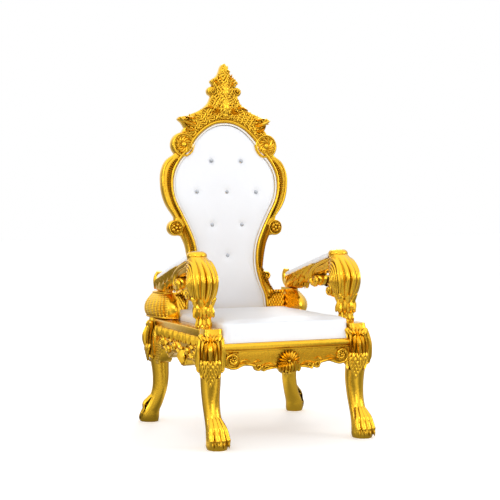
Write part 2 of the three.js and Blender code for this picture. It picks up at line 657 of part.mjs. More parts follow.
function armScrolls() {
  const curl = [[300, 614], [348, 620], [366, 648], [350, 680]].map(([y, z]) => v3(armX(y), y, z));
  const parts = [
    bar(curl, X_AXIS, (t) => [14 - 8 * t, 31 - 6 * t], 6),
    dome([LEG_X, 22, 655], [34, 34, 31], 8, 5),
    dome([LEG_X, -122, 612], [38, 34, 33], 8, 5),
  ];
  for (const face of [1, -1]) {
    const on = (y, z, reach = 34) => v3(armX(y) + face * reach, y, z);
    const out = v3(face, 0, 0);
    parts.push(
      scroll(on(22, 655, 31), Y_AXIS, Z_AXIS, 27, 9, { start: 3.4, turns: 1, steps: 7 }),
      leaf(on(-66, 722), on(74, 690), out, 15, 10, 4, 2),
      leaf(on(84, 682), on(196, 650), out, 15, 10, 4, 2),
      leaf(on(206, 640), on(330, 642), out, 14, 10, 4, 2),
    );
  }
  return parts;
}

function arm() {
  const { y, z, radius } = KNOB;
  const knob = new THREE.LatheGeometry(KNOB_PROFILE.map(([share, h]) => new THREE.Vector2(share * radius, h)), 10)
    .rotateX(Math.PI / 2)
    .translate(LEG_X, y, z);
  const body = joined([armVolute(), ...armPost(), armRail(), ...armScrolls(), knob]);
  const slope = new THREE.Matrix4().makeShear(0, 0, 0, -PAD_SLOPE, 0, 0);
  const bed = box([LEG_X - 100, PAD_FRONT_Y - GAP, 0], [LEG_X + 100, PAD_REAR_Y + GAP, 300])
    .translate(0, -PAD_FRONT_Y, 0)
    .applyMatrix4(slope)
    .translate(0, PAD_FRONT_Y, armTopZ(PAD_FRONT_Y));
  const seat = box([200, 176, 400], [500, 500, ARM_SEAT_Z + GAP]);
  return body.subtract(solidOf(bed)).subtract(solidOf(seat));
}

const PAD_PROFILE = [[-1, 0], [-1, 0.55], [-0.8, 0.88], [0, 1], [0.8, 0.88], [1, 0.55], [1, 0]];

function armPad() {
  const stations = [[0, 0.8, 0.6], [0.04, 0.96, 0.9], [0.12, 1, 1], [0.88, 1, 1], [0.96, 0.96, 0.9], [1, 0.8, 0.6]];
  const rings = stations.map(([share, wide, high]) => {
    const y = PAD_FRONT_Y + 1 + (PAD_REAR_Y - PAD_FRONT_Y - 2) * share;
    const low = armTopZ(y) + GAP;
    return PAD_PROFILE.map(([x, z]) => v3(armX(y) + x * wide * PAD_HALF_WIDTH, y, low + z * high * PAD_THICK));
  });
  return loft(rings);
}

// A ribbed quarter shell under the arm's rear end, bulging outwards and forwards.
function armBracket() {
  const rows = [
    [SIDE_RAIL_TOP + GAP, 83, 193], [500, 97, 203], [528, 102, 204], [555, 93, 190], [580, 72, 158], [ARM_SEAT_Z, 50, 122],
  ];
  const inner = JOINT_X + 1;
  const rear = BLOCK_REAR_Y - 2;
  const ribs = 7;
  const steps = 2 * ribs;
  const rings = rows.map(([z, wide, long]) => {
    const outline = Array.from({ length: steps + 1 }, (_, i) => {
      const angle = ((Math.PI / 2) * i) / steps;
      const rib = 1 - 0.05 * (1 - (i % 2));
      return v3(inner + wide * Math.sin(angle) * rib, rear - long * Math.cos(angle) * rib, z);
    });
    return [...outline, v3(inner, rear, z)];
  });
  return loft(rings);
}

// ---- Seat ----
function seatCushion() {
  const behindRail = FRONT_RAIL_REAR_Y + GAP;
  const rear = BACK_RAIL_FRONT_Y - GAP;
  const low = BOARD_TOP + GAP;
  const lap = FRONT_RAIL_TOP + GAP;
  const edge = CUSHION_EDGE_TOP;
  const rows = [
    [low, 10, behindRail], [low + 8, 3, behindRail], [lap, 0, behindRail], [lap + 0.2, 0, CUSHION_FRONT_Y],
    [edge - 30, 0, CUSHION_FRONT_Y], [edge - 10, 6, CUSHION_FRONT_Y], [edge, 20, CUSHION_FRONT_Y],
    [edge + CUSHION_CROWN * 0.6, 90, CUSHION_FRONT_Y], [edge + CUSHION_CROWN, 190, CUSHION_FRONT_Y],
  ];
  return loft(rows.map(([z, inset, front]) => sectionRing(
    v3(0, (front + rear) / 2, z), X_AXIS, Y_AXIS,
    [CUSHION_HALF_WIDTH - inset, (rear - front) / 2 - inset], { sides: 24, power: 9 })));
}

function seatBoard() {
  const side = JOINT_X - 1;
  return box([-side, FRONT_RAIL_REAR_Y + 1, BOARD_TOP - BOARD_THICK], [side, BACK_RAIL_FRONT_Y - 1, BOARD_TOP]);
}

// ---- The throne ----
const throne = new THREE.Group();
throne.add(
  buildBack(),
  piece("front_rail", geometryOf(frontRail()), gold),
  piece("back_rail", geometryOf(backRail()), gold),
  ...pair("side_rail", geometryOf(sideRail()), gold),
  ...pair("front_leg", geometryOf(frontLeg()), gold),
  ...pair("back_leg", geometryOf(backLeg()), gold),
  ...pair("arm", geometryOf(arm()), gold),
  ...pair("arm_bracket", armBracket(), gold),
  ...pair("arm_pad", armPad(), leather),
  piece("seat_cushion", seatCushion(), leather),
  piece("seat_board", seatBoard(), plywood),
);

// The throne stands with its box centred on the origin.
const extent = new THREE.Box3().setFromObject(throne, true);
throne.position.y = -(extent.min.y + extent.max.y) / 2;

export default throne;
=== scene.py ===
"""The look of a carved and gilded throne with white upholstery, laid out as an add-on.

Each operator models one piece, or a group of like pieces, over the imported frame. Metres, +Z up, and the front
faces -Y. Left and right are the viewer's from the front, so left is -X."""
import contextlib
import functools
import math

import bmesh
import bpy
import numpy as np
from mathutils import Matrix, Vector


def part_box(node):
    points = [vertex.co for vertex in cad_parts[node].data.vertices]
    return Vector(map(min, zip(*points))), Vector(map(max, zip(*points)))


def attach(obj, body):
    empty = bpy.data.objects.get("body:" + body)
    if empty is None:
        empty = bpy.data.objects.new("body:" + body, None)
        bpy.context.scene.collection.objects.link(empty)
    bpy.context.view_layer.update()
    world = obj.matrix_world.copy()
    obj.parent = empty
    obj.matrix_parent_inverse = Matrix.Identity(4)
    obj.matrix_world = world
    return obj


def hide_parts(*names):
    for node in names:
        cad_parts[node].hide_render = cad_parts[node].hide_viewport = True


bl_info = {
    "name": "Gilded Throne",
    "version": (1, 0, 0),
    "blender": (4, 5, 0),
    "location": "View3D > Sidebar > Throne",
    "description": "Models a carved and gilded throne with white upholstery over its packed frame",
    "category": "Add Mesh",
}

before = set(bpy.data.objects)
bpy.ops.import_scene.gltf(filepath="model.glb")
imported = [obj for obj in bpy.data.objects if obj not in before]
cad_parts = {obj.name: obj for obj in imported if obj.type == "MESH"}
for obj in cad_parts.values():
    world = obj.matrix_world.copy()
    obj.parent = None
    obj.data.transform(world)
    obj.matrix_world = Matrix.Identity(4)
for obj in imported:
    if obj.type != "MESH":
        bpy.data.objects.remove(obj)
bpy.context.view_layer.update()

LEDGE_WIDTH = 0.014
BACK_RAIL_FRONT_Y = 0.302
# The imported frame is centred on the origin, so each finished piece is moved along Y by this much.
SHIFT_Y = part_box("back_rail")[0].y - (BACK_RAIL_FRONT_Y - LEDGE_WIDTH)

LEG_X = 0.335
JOINT_X = 0.295
SEAT_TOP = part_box("back_rail")[1].z
BACK_LEAN = math.radians(1.8)
BACK_FRONT_Y = 0.316
BACK_FOOT = SEAT_TOP + 0.002
GAP = 0.0003
SIDES = (-1, 1)
SIDE_NAMES = {-1: "left", 1: "right"}
OUT = np.array([0.0, -1.0, 0.0])
UP = np.array([0.0, 0.0, 1.0])


# ---- Modelling tools ----
def deselect():
    if bpy.context.object and bpy.context.object.mode != "OBJECT":
        bpy.ops.object.mode_set(mode="OBJECT")
    bpy.ops.object.select_all(action="DESELECT")


def select_only(*objects):
    deselect()
    for obj in objects:
        obj.select_set(True)
    bpy.context.view_layer.objects.active = objects[0]


def new_mesh(kind, **options):
    """Adds a primitive with nothing else selected, and returns it."""
    deselect()
    getattr(bpy.ops.mesh, f"primitive_{kind}_add")(**options)
    return bpy.context.view_layer.objects.active


def apply_modifier(obj, kind, **options):
    select_only(obj)
    modifier = obj.modifiers.new(kind.title(), kind)
    for key, value in options.items():
        setattr(modifier, key, value)
    bpy.ops.object.modifier_apply(modifier=modifier.name)


def points_of(obj):
    flat = np.empty(len(obj.data.vertices) * 3)
    obj.data.vertices.foreach_get("co", flat)
    return flat.reshape(-1, 3)


def move_points(obj, points):
    obj.data.vertices.foreach_set("co", np.ascontiguousarray(points, dtype=np.float32).ravel())
    obj.data.update()


def join(parts, name):
    """Joins parts into the first one."""
    select_only(*parts)
    if len(parts) > 1:
        bpy.ops.object.join()
    joined = bpy.context.view_layer.objects.active
    joined.name = name
    joined.data.name = name
    return joined


@contextlib.contextmanager
def editing(obj):
    """Opens a mesh for editing with all of it selected, and closes it again."""
    select_only(obj)
    bpy.ops.object.mode_set(mode="EDIT")
    bpy.ops.mesh.select_all(action="SELECT")
    yield
    bpy.ops.object.mode_set(mode="OBJECT")


def face_outwards(obj):
    with editing(obj):
        bpy.ops.mesh.normals_make_consistent(inside=False)


def smooth_shade(obj, angle):
    select_only(obj)
    bpy.ops.object.shade_smooth_by_angle(angle=math.radians(angle))


def wrapped_grid(around, along, place, closed_ends=True):
    """A grid rolled into a tube. place(u, v) gives the points at shares u of the way around and v of the way
    along, as arrays. The seam is merged and the ends are filled."""
    obj = new_mesh("grid", x_subdivisions=around, y_subdivisions=along, size=2)
    flat = points_of(obj)
    move_points(obj, place((flat[:, 0] + 1) / 2, (flat[:, 1] + 1) / 2))
    with editing(obj):
        bpy.ops.mesh.remove_doubles(threshold=1e-6)
        if closed_ends:
            bpy.ops.mesh.fill_holes(sides=0)
        bpy.ops.mesh.select_all(action="SELECT")
        bpy.ops.mesh.normals_make_consistent(inside=False)
    return obj


def unit(vectors):
    """Vectors scaled to a length of one."""
    return vectors / (np.linalg.norm(vectors, axis=-1, keepdims=True) + 1e-12)


def smooth_step(value, low, high):
    t = np.clip((np.asarray(value, float) - low) / (high - low), 0, 1)
    return t * t * (3 - 2 * t)


def spline(rows, at):
    """Values of a smooth curve through rows of [position, value...], at an array of positions."""
    rows = np.asarray(rows, float)
    spots, values = rows[:, 0], rows[:, 1:]
    slopes = np.gradient(values, spots, axis=0)
    at = np.clip(at, spots[0], spots[-1])
    i = np.clip(np.searchsorted(spots, at, side="right") - 1, 0, len(spots) - 2)
    step = (spots[i + 1] - spots[i])[:, None]
    t = ((at - spots[i]) / step[:, 0])[:, None]
    start, end = values[i], values[i + 1]
    return ((2 * t**3 - 3 * t**2 + 1) * start + (t**3 - 2 * t**2 + t) * step * slopes[i]
            + (3 * t**2 - 2 * t**3) * end + (t**3 - t**2) * step * slopes[i + 1])


def curve_through(points, count):
    """count points spread along a smooth curve through a few points."""
    points = np.asarray(points, float)
    lengths = np.linalg.norm(np.diff(points, axis=0), axis=1)
    spots = np.concatenate([[0], np.cumsum(lengths)])
    return spline(np.column_stack([spots, points]), np.linspace(0, spots[-1], count))


# ---- Ornament: each kind is modelled once, then bent along its place ----
RELIEF_DEPTH = 0.3


def leaf_shape(u, v, lobes=0, veins=4):
    """A pointed leaf: a sharp midrib, cupped flanks, cut veins and, with lobes, a scalloped edge."""
    half = np.clip(np.sin(np.pi * (0.16 + 0.84 * v) ** 0.9), 0.02, 1)
    if lobes:
        half *= 1 - 0.22 * np.abs(np.sin(np.pi * lobes * v)) * np.abs(u)
    ridge = (1 - np.abs(u)) ** 2 * 0.4
    cup = np.sqrt(np.clip(1 - u**2, 0, 1)) * 0.55
    cuts = 0.16 * np.abs(np.sin(np.pi * veins * (v + 0.35 * np.abs(u)))) * np.abs(u) * (1 - np.abs(u) ** 4)
    return half, (ridge + cup - cuts) * half**0.5


def rib_shape(u, v):
    """A half-round rib that thins towards both ends."""
    half = np.clip(np.sin(np.pi * (0.06 + 0.88 * v)) ** 0.45, 0.05, 1)
    return half, np.sqrt(np.clip(1 - u**2, 0, 1)) * half


def scale_shape(u, v):
    """A rounded fish scale with a raised edge and a grooved middle."""
    half = np.sqrt(np.clip(1 - (v * 0.98) ** 3, 0.02, 1))
    return half, (0.35 + 0.65 * v) * np.sqrt(np.clip(1 - 0.9 * u**2, 0, 1)) - 0.18 * (1 - np.abs(u)) * v


def leaflet_shape(u, v):
    """A small leaflet with a soft ridge, light enough for dense foliage."""
    half = np.clip(np.sin(np.pi * (0.2 + 0.8 * v) ** 0.9), 0.04, 1)
    return half, (0.45 * (1 - np.abs(u)) + 0.55 * np.sqrt(np.clip(1 - u**2, 0, 1))) * half**0.5


ORNAMENTS = {
    # kind: faces across, faces along, and the half width and height at shares across and along
    "leaflet": (4, 7, leaflet_shape),
    "leaf": (8, 18, leaf_shape),
    "lobed": (8, 18, functools.partial(leaf_shape, lobes=4, veins=5)),
    "rib": (6, 20, rib_shape),
    "scale": (6, 7, scale_shape),
}


@functools.cache
def master(kind):
    """The points and faces of one kind of ornament, one long and two wide, closed by a flat underside."""
    across, along, shape = ORNAMENTS[kind]
    obj = new_mesh("grid", x_subdivisions=across, y_subdivisions=along, size=2)
    flat = points_of(obj)
    u, v = flat[:, 0], (flat[:, 1] + 1) / 2
    half, height = shape(u, v)
    move_points(obj, np.column_stack([u * half, v, height]))
    with editing(obj):
        bpy.ops.mesh.extrude_region_move(TRANSFORM_OT_translate={"value": (0, 0, -RELIEF_DEPTH)})
        bpy.ops.mesh.select_all(action="SELECT")
        bpy.ops.mesh.normals_make_consistent(inside=False)
    points = points_of(obj)
    faces = [tuple(face.vertices) for face in obj.data.polygons]
    bpy.data.objects.remove(obj)
    return points, faces


class Carving:
    """Copies of the ornaments, each bent along its own spine, gathered into one mesh."""

    def __init__(self, outward=OUT):
        self.points = []
        self.faces = []
        self.count = 0
        self.outward = np.asarray(outward, float)

    def _add(self, points, faces):
        self.points.append(points)
        self.faces.extend(tuple(i + self.count for i in face) for face in faces)
        self.count += len(points)

    def bent(self, kind, spine, normal, width, height, sink=0.0):
        """Adds an ornament along a spine of points. normal is its outward direction, or one for each point."""
        shape, faces = master(kind)
        spine = np.asarray(spine, float)
        normal = np.asarray(normal, float)
        spots = np.linspace(0, 1, len(spine))
        at = np.clip(shape[:, 1], 0, 1)

        def along(values):
            return spline(np.column_stack([spots, values]), at)

        ahead = unit(along(np.gradient(spine, axis=0)))
        across = unit(np.cross(ahead, along(normal) if normal.ndim > 1 else normal))
        out = np.cross(across, ahead)
        self._add(along(spine) + across * (shape[:, :1] * width) + out * (shape[:, 2:] * height - sink), faces)

    def scroll(self, centre, aside, radius, width, height, turns, start, hand=1, inner=0.16):
        """A rib that winds inwards on an upright face. aside is the level way along it, where angles start."""
        t = np.linspace(0, 1, 26)[:, None]
        reach = radius * (1 - (1 - inner) * t**0.85)
        angle = start + hand * 2 * math.pi * turns * t
        spine = np.asarray(centre) + reach * (np.cos(angle) * np.asarray(aside) + np.sin(angle) * UP)
        self.bent("rib", spine, self.outward, width, height)

    def frond(self, spine, reach, height, pairs, spread=0.75, plump=0.20):
        """A feathered leaf: a midrib, and leaflets that leave it in pairs and shorten towards its tip."""
        spine = curve_through(spine, 4 * pairs + 4)
        ways = unit(np.gradient(spine, axis=0))
        for pair in range(pairs):
            at, share = 4 * pair + 1, pair / pairs
            ahead, across = ways[at], np.cross(ways[at], self.outward)
            length = reach * (0.55 + 0.45 * math.sin(math.pi * min(1, share * 1.6))) * (1 - 0.55 * share**2)
            for hand in SIDES:
                way = ahead * math.cos(spread) + hand * across * math.sin(spread)
                bend = spine[at] + (way - 0.22 * ahead) * length * 0.5 + self.outward * height * 0.35
                line = [spine[at] - way * length * 0.1, bend, spine[at] + way * length]
                self.bent("leaflet", line, self.outward, length * plump, height)
        self.bent("rib", spine[:: max(1, pairs // 2)], self.outward, reach * 0.13, height * 1.15)
        self.bent("leaflet", spine[-7:], self.outward, reach * 0.24, height * 1.1)

    def foliage(self, spots, flow, depth, length, height):
        """Small leaves set close over part of the back's face. flow(x, z) gives the angle they grow at, and
        they lean to one side and the other by turns. depth(x, z) gives the face's depth."""
        for i, (x, z) in enumerate(spots):
            lean = math.sin(91 * x + 57 * z + 2.4 * i)
            angle = flow(x, z) + 0.8 * lean
            way = np.array([math.cos(angle), math.sin(angle)]) * length * (0.8 + 0.4 * abs(lean))
            side = np.array([-way[1], way[0]]) * 0.2 * lean
            line = [(x, z) - way * 0.5, (x, z) + side, (x, z) + way * 0.5]
            rises = (0, height * 0.3, height * 0.2)
            spine = [[px, depth(px, pz) - rise, pz] for (px, pz), rise in zip(line, rises)]
            self.bent("leaflet", spine, self.outward, length * 0.25, height)

    def bead(self, centre, half, rings=7, sides=10):
        """A round bead or boss, with half its size along each axis."""
        rows = np.linspace(0, math.pi, rings)
        angles = np.linspace(0, 2 * math.pi, sides, endpoint=False)
        ball = [[0, 0, 1]]
        for row in rows[1:-1]:
            ball += [[math.sin(row) * math.cos(a), math.sin(row) * math.sin(a), math.cos(row)] for a in angles]
        ball.append([0, 0, -1])
        faces = [(0, 1 + j, 1 + (j + 1) % sides) for j in range(sides)]
        for i in range(rings - 3):
            low, high = 1 + i * sides, 1 + (i + 1) * sides
            faces += [(low + j, high + j, high + (j + 1) % sides, low + (j + 1) % sides) for j in range(sides)]
        last = 1 + (rings - 3) * sides
        bottom = len(ball) - 1
        faces += [(bottom, last + (j + 1) % sides, last + j) for j in range(sides)]
        self._add(np.asarray(centre) + np.asarray(ball) * np.asarray(half), faces)

    def mesh(self, name):
        data = bpy.data.meshes.new(name)
        data.from_pydata(np.concatenate(self.points).tolist(), [], self.faces)
        data.update()
        obj = bpy.data.objects.new(name, data)
        bpy.context.scene.collection.objects.link(obj)
        face_outwards(obj)
        return obj


def flat_plate(name, loops, front, rear, bevel):
    """A plate from loops in x and z, solid between the first loop and the others, with round edges."""
    curve = bpy.data.curves.new(name, "CURVE")
    curve.dimensions = "2D"
    curve.fill_mode = "BOTH"
    curve.extrude = (rear - front) / 2 - bevel
    curve.bevel_depth = bevel
    curve.bevel_resolution = 3
    curve.offset = -bevel
    for loop in loops:
        line = curve.splines.new("POLY")
        line.points.add(len(loop) - 1)
        for point, (x, z) in zip(line.points, loop):
            point.co = (x, z, 0, 1)
        line.use_cyclic_u = True
    obj = bpy.data.objects.new(name, curve)
    bpy.context.scene.collection.objects.link(obj)
    select_only(obj)
    bpy.ops.object.convert(target="MESH")
    obj = bpy.context.view_layer.objects.active
    flat = points_of(obj)
    move_points(obj, np.column_stack([flat[:, 0], (front + rear) / 2 - flat[:, 2], flat[:, 1]]))
    with editing(obj):
        bpy.ops.mesh.remove_doubles(threshold=1e-5)
        bpy.ops.mesh.normals_make_consistent(inside=False)
    return obj


def mirror_copy(obj):
    """The same piece on the other side of the centre plane, with a mesh of its own."""
    twin = obj.copy()
    twin.data = obj.data.copy()
    bpy.context.scene.collection.objects.link(twin)
    move_points(twin, points_of(twin) * [-1, 1, 1])
    twin.data.flip_normals()
    return twin


def finish_piece(obj, name, material, node, angle=50):
    """Names a piece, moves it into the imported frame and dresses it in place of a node."""
    obj.name = name
    obj.data.name = name
    move_points(obj, points_of(obj) + [0, SHIFT_Y, 0])
    smooth_shade(obj, angle)
    obj.data.materials.clear()
    obj.data.materials.append(material)
    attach(obj, "root")
    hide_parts(node)
    return obj


def finish_pair(obj, stem, material, angle=50):
    """Finishes a piece that stands on +X, and its mirror image."""
    twin = mirror_copy(obj)
    right = finish_piece(obj, f"{stem}_right_carved", material, f"{stem}_right", angle=angle)
    left = finish_piece(twin, f"{stem}_left_carved", material, f"{stem}_left", angle=angle)
    return left, right


# ---- Materials ----
# A Mix node's colour sockets, by number, as other sockets of the node share their names.
LOW_COLOUR, HIGH_COLOUR, MIXED_COLOUR = 6, 7, 2


def made_once(library, name):
    """Has a material or a node group made on the first call, and finds it by its name afterwards."""
    def wrap(make):
        @functools.wraps(make)
        def find():
            return getattr(bpy.data, library).get(name) or make(name)
        return find
    return wrap


def node_group(name, inputs, outputs):
    """An empty shader node group with named sockets."""
    group = bpy.data.node_groups.new(name, "ShaderNodeTree")
    for socket, kind, default in inputs:
        made = group.interface.new_socket(socket, in_out="INPUT", socket_type=kind)
        made.default_value = default
    for socket, kind in outputs:
        group.interface.new_socket(socket, in_out="OUTPUT", socket_type=kind)
    return group, group.nodes.new("NodeGroupInput"), group.nodes.new("NodeGroupOutput")


@made_once("node_groups", "surface grain")
def grain_group(name):
    """Fine and coarse unevenness of a surface, as heights and a mask."""
    group, start, end = node_group(
        name,
        [("Scale", "NodeSocketFloat", 100.0), ("Detail", "NodeSocketFloat", 4.0)],
        [("Height", "NodeSocketFloat"), ("Mask", "NodeSocketFloat")])
    nodes, links = group.nodes, group.links
    place = nodes.new("ShaderNodeTexCoord")
    noise = nodes.new("ShaderNodeTexNoise")
    links.new(place.outputs["Object"], noise.inputs["Vector"])
    links.new(start.outputs["Scale"], noise.inputs["Scale"])
    links.new(start.outputs["Detail"], noise.inputs["Detail"])
    broad = nodes.new("ShaderNodeTexNoise")
    broad.inputs["Scale"].default_value = 9.0
    broad.inputs["Detail"].default_value = 3.0
    links.new(place.outputs["Object"], broad.inputs["Vector"])
    links.new(noise.outputs["Fac"], end.inputs["Height"])
    links.new(broad.outputs["Fac"], end.inputs["Mask"])
    return group


@made_once("node_groups", "crevices")
def crevice_shade_group(name):
    """An ambient occlusion mask that is 1 in the open and falls to 0 down in the cuts between carved forms,
    where shade falls; the gilding uses it to paint shade into its colour.
    """
    group, start, end = node_group(
        name,
        [("Low", "NodeSocketFloat", 0.35), ("High", "NodeSocketFloat", 0.85)],
        [("Mask", "NodeSocketFloat")])
    nodes, links = group.nodes, group.links
    shade = nodes.new("ShaderNodeAmbientOcclusion")
    shade.samples = 6
    shade.only_local = True
    shade.inputs["Distance"].default_value = 0.022
    spread = nodes.new("ShaderNodeMapRange")
    spread.interpolation_type = "SMOOTHSTEP"
    links.new(shade.outputs["AO"], spread.inputs["Value"])
    links.new(start.outputs["Low"], spread.inputs["From Min"])
    links.new(start.outputs["High"], spread.inputs["From Max"])
    links.new(spread.outputs["Result"], end.inputs["Mask"])
    return group


def placed_group(material, group, **values):
    node = material.node_tree.nodes.new("ShaderNodeGroup")
    node.node_tree = group
    for key, value in values.items():
        node.inputs[key].default_value = value
    return node


def plain_material(name, colour, **values):
    """A material with a Principled BSDF whose sockets are set by name."""
    material = bpy.data.materials.new(name)
    material.use_nodes = True
    shader = material.node_tree.nodes["Principled BSDF"]
    shader.inputs["Base Color"].default_value = (*colour, 1)
    for key, value in values.items():
        shader.inputs[key.replace("_", " ")].default_value = value
    return material, shader


def mixed_colour(material, factor, low, high):
    mix = material.node_tree.nodes.new("ShaderNodeMix")
    mix.data_type = "RGBA"
    material.node_tree.links.new(factor, mix.inputs["Factor"])
    mix.inputs[LOW_COLOUR].default_value = (*low, 1)
    mix.inputs[HIGH_COLOUR].default_value = (*high, 1)
    return mix


def scaled(material, value, low, high):
    """A value between 0 and 1 spread between two levels."""
    spread = material.node_tree.nodes.new("ShaderNodeMapRange")
    material.node_tree.links.new(value, spread.inputs["Value"])
    spread.inputs["To Min"].default_value = low
    spread.inputs["To Max"].default_value = high
    return spread.outputs["Result"]


def add_bump(material, shader, height, distance, strength, normal=None):
    bump = material.node_tree.nodes.new("ShaderNodeBump")
    bump.inputs["Distance"].default_value = distance
    bump.inputs["Strength"].default_value = strength
    material.node_tree.links.new(height, bump.inputs["Height"])
    if normal:
        material.node_tree.links.new(normal, bump.inputs["Normal"])
    material.node_tree.links.new(bump.outputs["Normal"], shader.inputs["Normal"])
    return bump.outputs["Normal"]


@made_once("materials", "gold leaf")
def gold_leaf(name):
    """Bright yellow gilding, with the cuts of the carving darkened towards brown by an occlusion mask: partly
    glaze and partly painted shade.
    """
    colours = bpy.context.scene.throne_colours
    material, shader = plain_material(name, colours.gold, Metallic=1.0, Roughness=0.24)
    links = material.node_tree.links
    cuts = placed_group(material, crevice_shade_group(), Low=0.30, High=0.74)
    grain = placed_group(material, grain_group(), Scale=85.0, Detail=5.0)
    tone = mixed_colour(material, grain.outputs["Mask"], [c * 0.86 for c in colours.gold], colours.gold)
    # Painted shade: the occlusion mask darkens the cuts towards the brown colour, which stands in for glaze and
    # for the shade down in them.
    tint = mixed_colour(material, cuts.outputs["Mask"], colours.glaze_and_shade, colours.gold)
    links.new(tone.outputs[MIXED_COLOUR], tint.inputs[HIGH_COLOUR])
    links.new(tint.outputs[MIXED_COLOUR], shader.inputs["Base Color"])
    links.new(scaled(material, cuts.outputs["Mask"], 0.55, 0.2), shader.inputs["Roughness"])
    fine = placed_group(material, grain_group(), Scale=420.0, Detail=3.0)
    first = add_bump(material, shader, grain.outputs["Height"], 0.0016, 0.5)
    add_bump(material, shader, fine.outputs["Height"], 0.0003, 0.5, first)
    return material


@made_once("materials", "white leather")
def white_leather(name):
    """Smooth white upholstery leather with a fine pebbled grain."""
    colours = bpy.context.scene.throne_colours
    material, shader = plain_material(name, colours.leather, Roughness=0.42)
    nodes, links = material.node_tree.nodes, material.node_tree.links
    place = nodes.new("ShaderNodeTexCoord")
    pebbles = nodes.new("ShaderNodeTexVoronoi")
    pebbles.feature = "SMOOTH_F1"
    pebbles.inputs["Scale"].default_value = 620.0
    links.new(place.outputs["Object"], pebbles.inputs["Vector"])
    grain = placed_group(material, grain_group(), Scale=34.0, Detail=4.0)
    shaded = [c * 0.965 for c in colours.leather]
    tone = mixed_colour(material, grain.outputs["Mask"], shaded, colours.leather)
    links.new(tone.outputs[MIXED_COLOUR], shader.inputs["Base Color"])
    links.new(scaled(material, grain.outputs["Height"], 0.36, 0.5), shader.inputs["Roughness"])
    first = add_bump(material, shader, grain.outputs["Height"], 0.0011, 0.35)
    add_bump(material, shader, pebbles.outputs["Distance"], 0.00012, 0.6, first)
    return material


@made_once("materials", "cord leather")
def cord_leather(name):
    """The cream leather of the piping, with the twist of the cord inside it just showing."""
    colours = bpy.context.scene.throne_colours
    material, shader = plain_material(name, colours.piping, Roughness=0.5)
    grain = placed_group(material, grain_group(), Scale=260.0, Detail=3.0)
    add_bump(material, shader, grain.outputs["Height"], 0.0004, 0.6)
    tone = mixed_colour(material, grain.outputs["Mask"], [c * 0.93 for c in colours.piping], colours.piping)
    material.node_tree.links.new(tone.outputs[MIXED_COLOUR], shader.inputs["Base Color"])
    return material


@made_once("materials", "cut crystal")
def cut_crystal(name):
    """Clear cut glass over a silver foil."""
    colours = bpy.context.scene.throne_colours
    material, shader = plain_material(name, colours.crystal, Metallic=0.85, Roughness=0.06)
    shader.inputs["Coat Weight"].default_value = 1.0
    grain = placed_group(material, grain_group(), Scale=900.0, Detail=1.0)
    shaded = [c * 0.55 for c in colours.crystal]
    tone = mixed_colour(material, grain.outputs["Height"], shaded, colours.crystal)
    material.node_tree.links.new(tone.outputs[MIXED_COLOUR], shader.inputs["Base Color"])
    return material


@made_once("materials", "bare plywood")
def bare_plywood(name):
    """The deck's plain plywood, with grain along its width."""
    material, shader = plain_material(name, (0.36, 0.22, 0.11), Roughness=0.7)
    nodes, links = material.node_tree.nodes, material.node_tree.links
    place = nodes.new("ShaderNodeTexCoord")
    stretch = nodes.new("ShaderNodeMapping")
    stretch.inputs["Scale"].default_value = (3.0, 60.0, 60.0)
    rings = nodes.new("ShaderNodeTexNoise")
    rings.inputs["Scale"].default_value = 2.0
    rings.inputs["Detail"].default_value = 6.0
    links.new(place.outputs["Object"], stretch.inputs["Vector"])
    links.new(stretch.outputs["Vector"], rings.inputs["Vector"])
    tone = mixed_colour(material, rings.outputs["Fac"], (0.22, 0.12, 0.05), (0.5, 0.33, 0.17))
    links.new(tone.outputs[MIXED_COLOUR], shader.inputs["Base Color"])
    add_bump(material, shader, rings.outputs["Fac"], 0.0004, 0.5)
    return material


# ---- The back: outlines in x and height above its foot ----
def arc(centre, radius, start, end, count):
    angles = np.linspace(start, end, count)
    return np.column_stack([centre[0] + radius * np.cos(angles), centre[1] + radius * np.sin(angles)])


ROUNDEL = (0.208, 0.788)
ROUNDEL_RADIUS = 0.058
WAIST = (0.251, 0.405)
WAIST_RADIUS = 0.037
CURL = (0.063, 1.040)
FOOT_CURL = (0.203, 0.176)
CURL_RADIUS = 0.022
TIP_HEIGHT = 1.171
BACK_THICK = 0.036
OPENING = [
    (0, 0.893), (0.030, 0.8905), (0.084, 0.870), (0.143, 0.820), (0.184, 0.762), (0.226, 0.714),
    (0.254, 0.660), (0.262, 0.600), (0.252, 0.540), (0.218, 0.470), (0.182, 0.398), (0.156, 0.330),
    (0.147, 0.265), (0.151, 0.205), (0.170, 0.140), (0.190, 0.090), (0.201, 0.014),
]


def outer_half():
    """The right half of the back's outline, from the tip down to its foot."""
    tip = [(0, TIP_HEIGHT), (0.006, 1.168), (0.030, 1.122), (0.046, 1.100)]
    step = [(0.062, 1.095), (0.068, 1.088), (0.056, 1.068)]
    neck = [(0.067, 1.014), (0.079, 0.988), (0.112, 0.957), (0.170, 0.930), (0.198, 0.919)]
    ear = [(0.224, 0.917), (0.232, 0.908), (0.213, 0.888), (0.197, 0.862)]
    belly = [(0.254, 0.742), (0.290, 0.716), (0.313, 0.668), (0.317, 0.612), (0.298, 0.522), (0.249, 0.446)]
    shank = [(0.221, 0.366), (0.204, 0.330), (0.191, 0.270), (0.183, 0.206)]
    foot = [(0.221, 0.142), (0.236, 0.112), (0.262, 0.096), (JOINT_X - GAP, 0.084)]
    return np.concatenate([
        curve_through(tip, 10)[:-1],
        curve_through(step, 7)[:-1],
        arc(CURL, CURL_RADIUS, 1.9, -1.3, 16),
        curve_through(neck, 18)[:-1],
        curve_through(ear, 12)[:-1],
        arc(ROUNDEL, ROUNDEL_RADIUS, 1.45, -0.75, 18),
        curve_through(belly, 30)[:-1],
        arc(WAIST, WAIST_RADIUS, 1.5, -1.9, 22),
        curve_through(shank, 14)[:-1],
        arc(FOOT_CURL, CURL_RADIUS, 2.0, -1.0, 12),
        curve_through(foot, 10),
        [(JOINT_X - GAP, 0.001)],
    ])


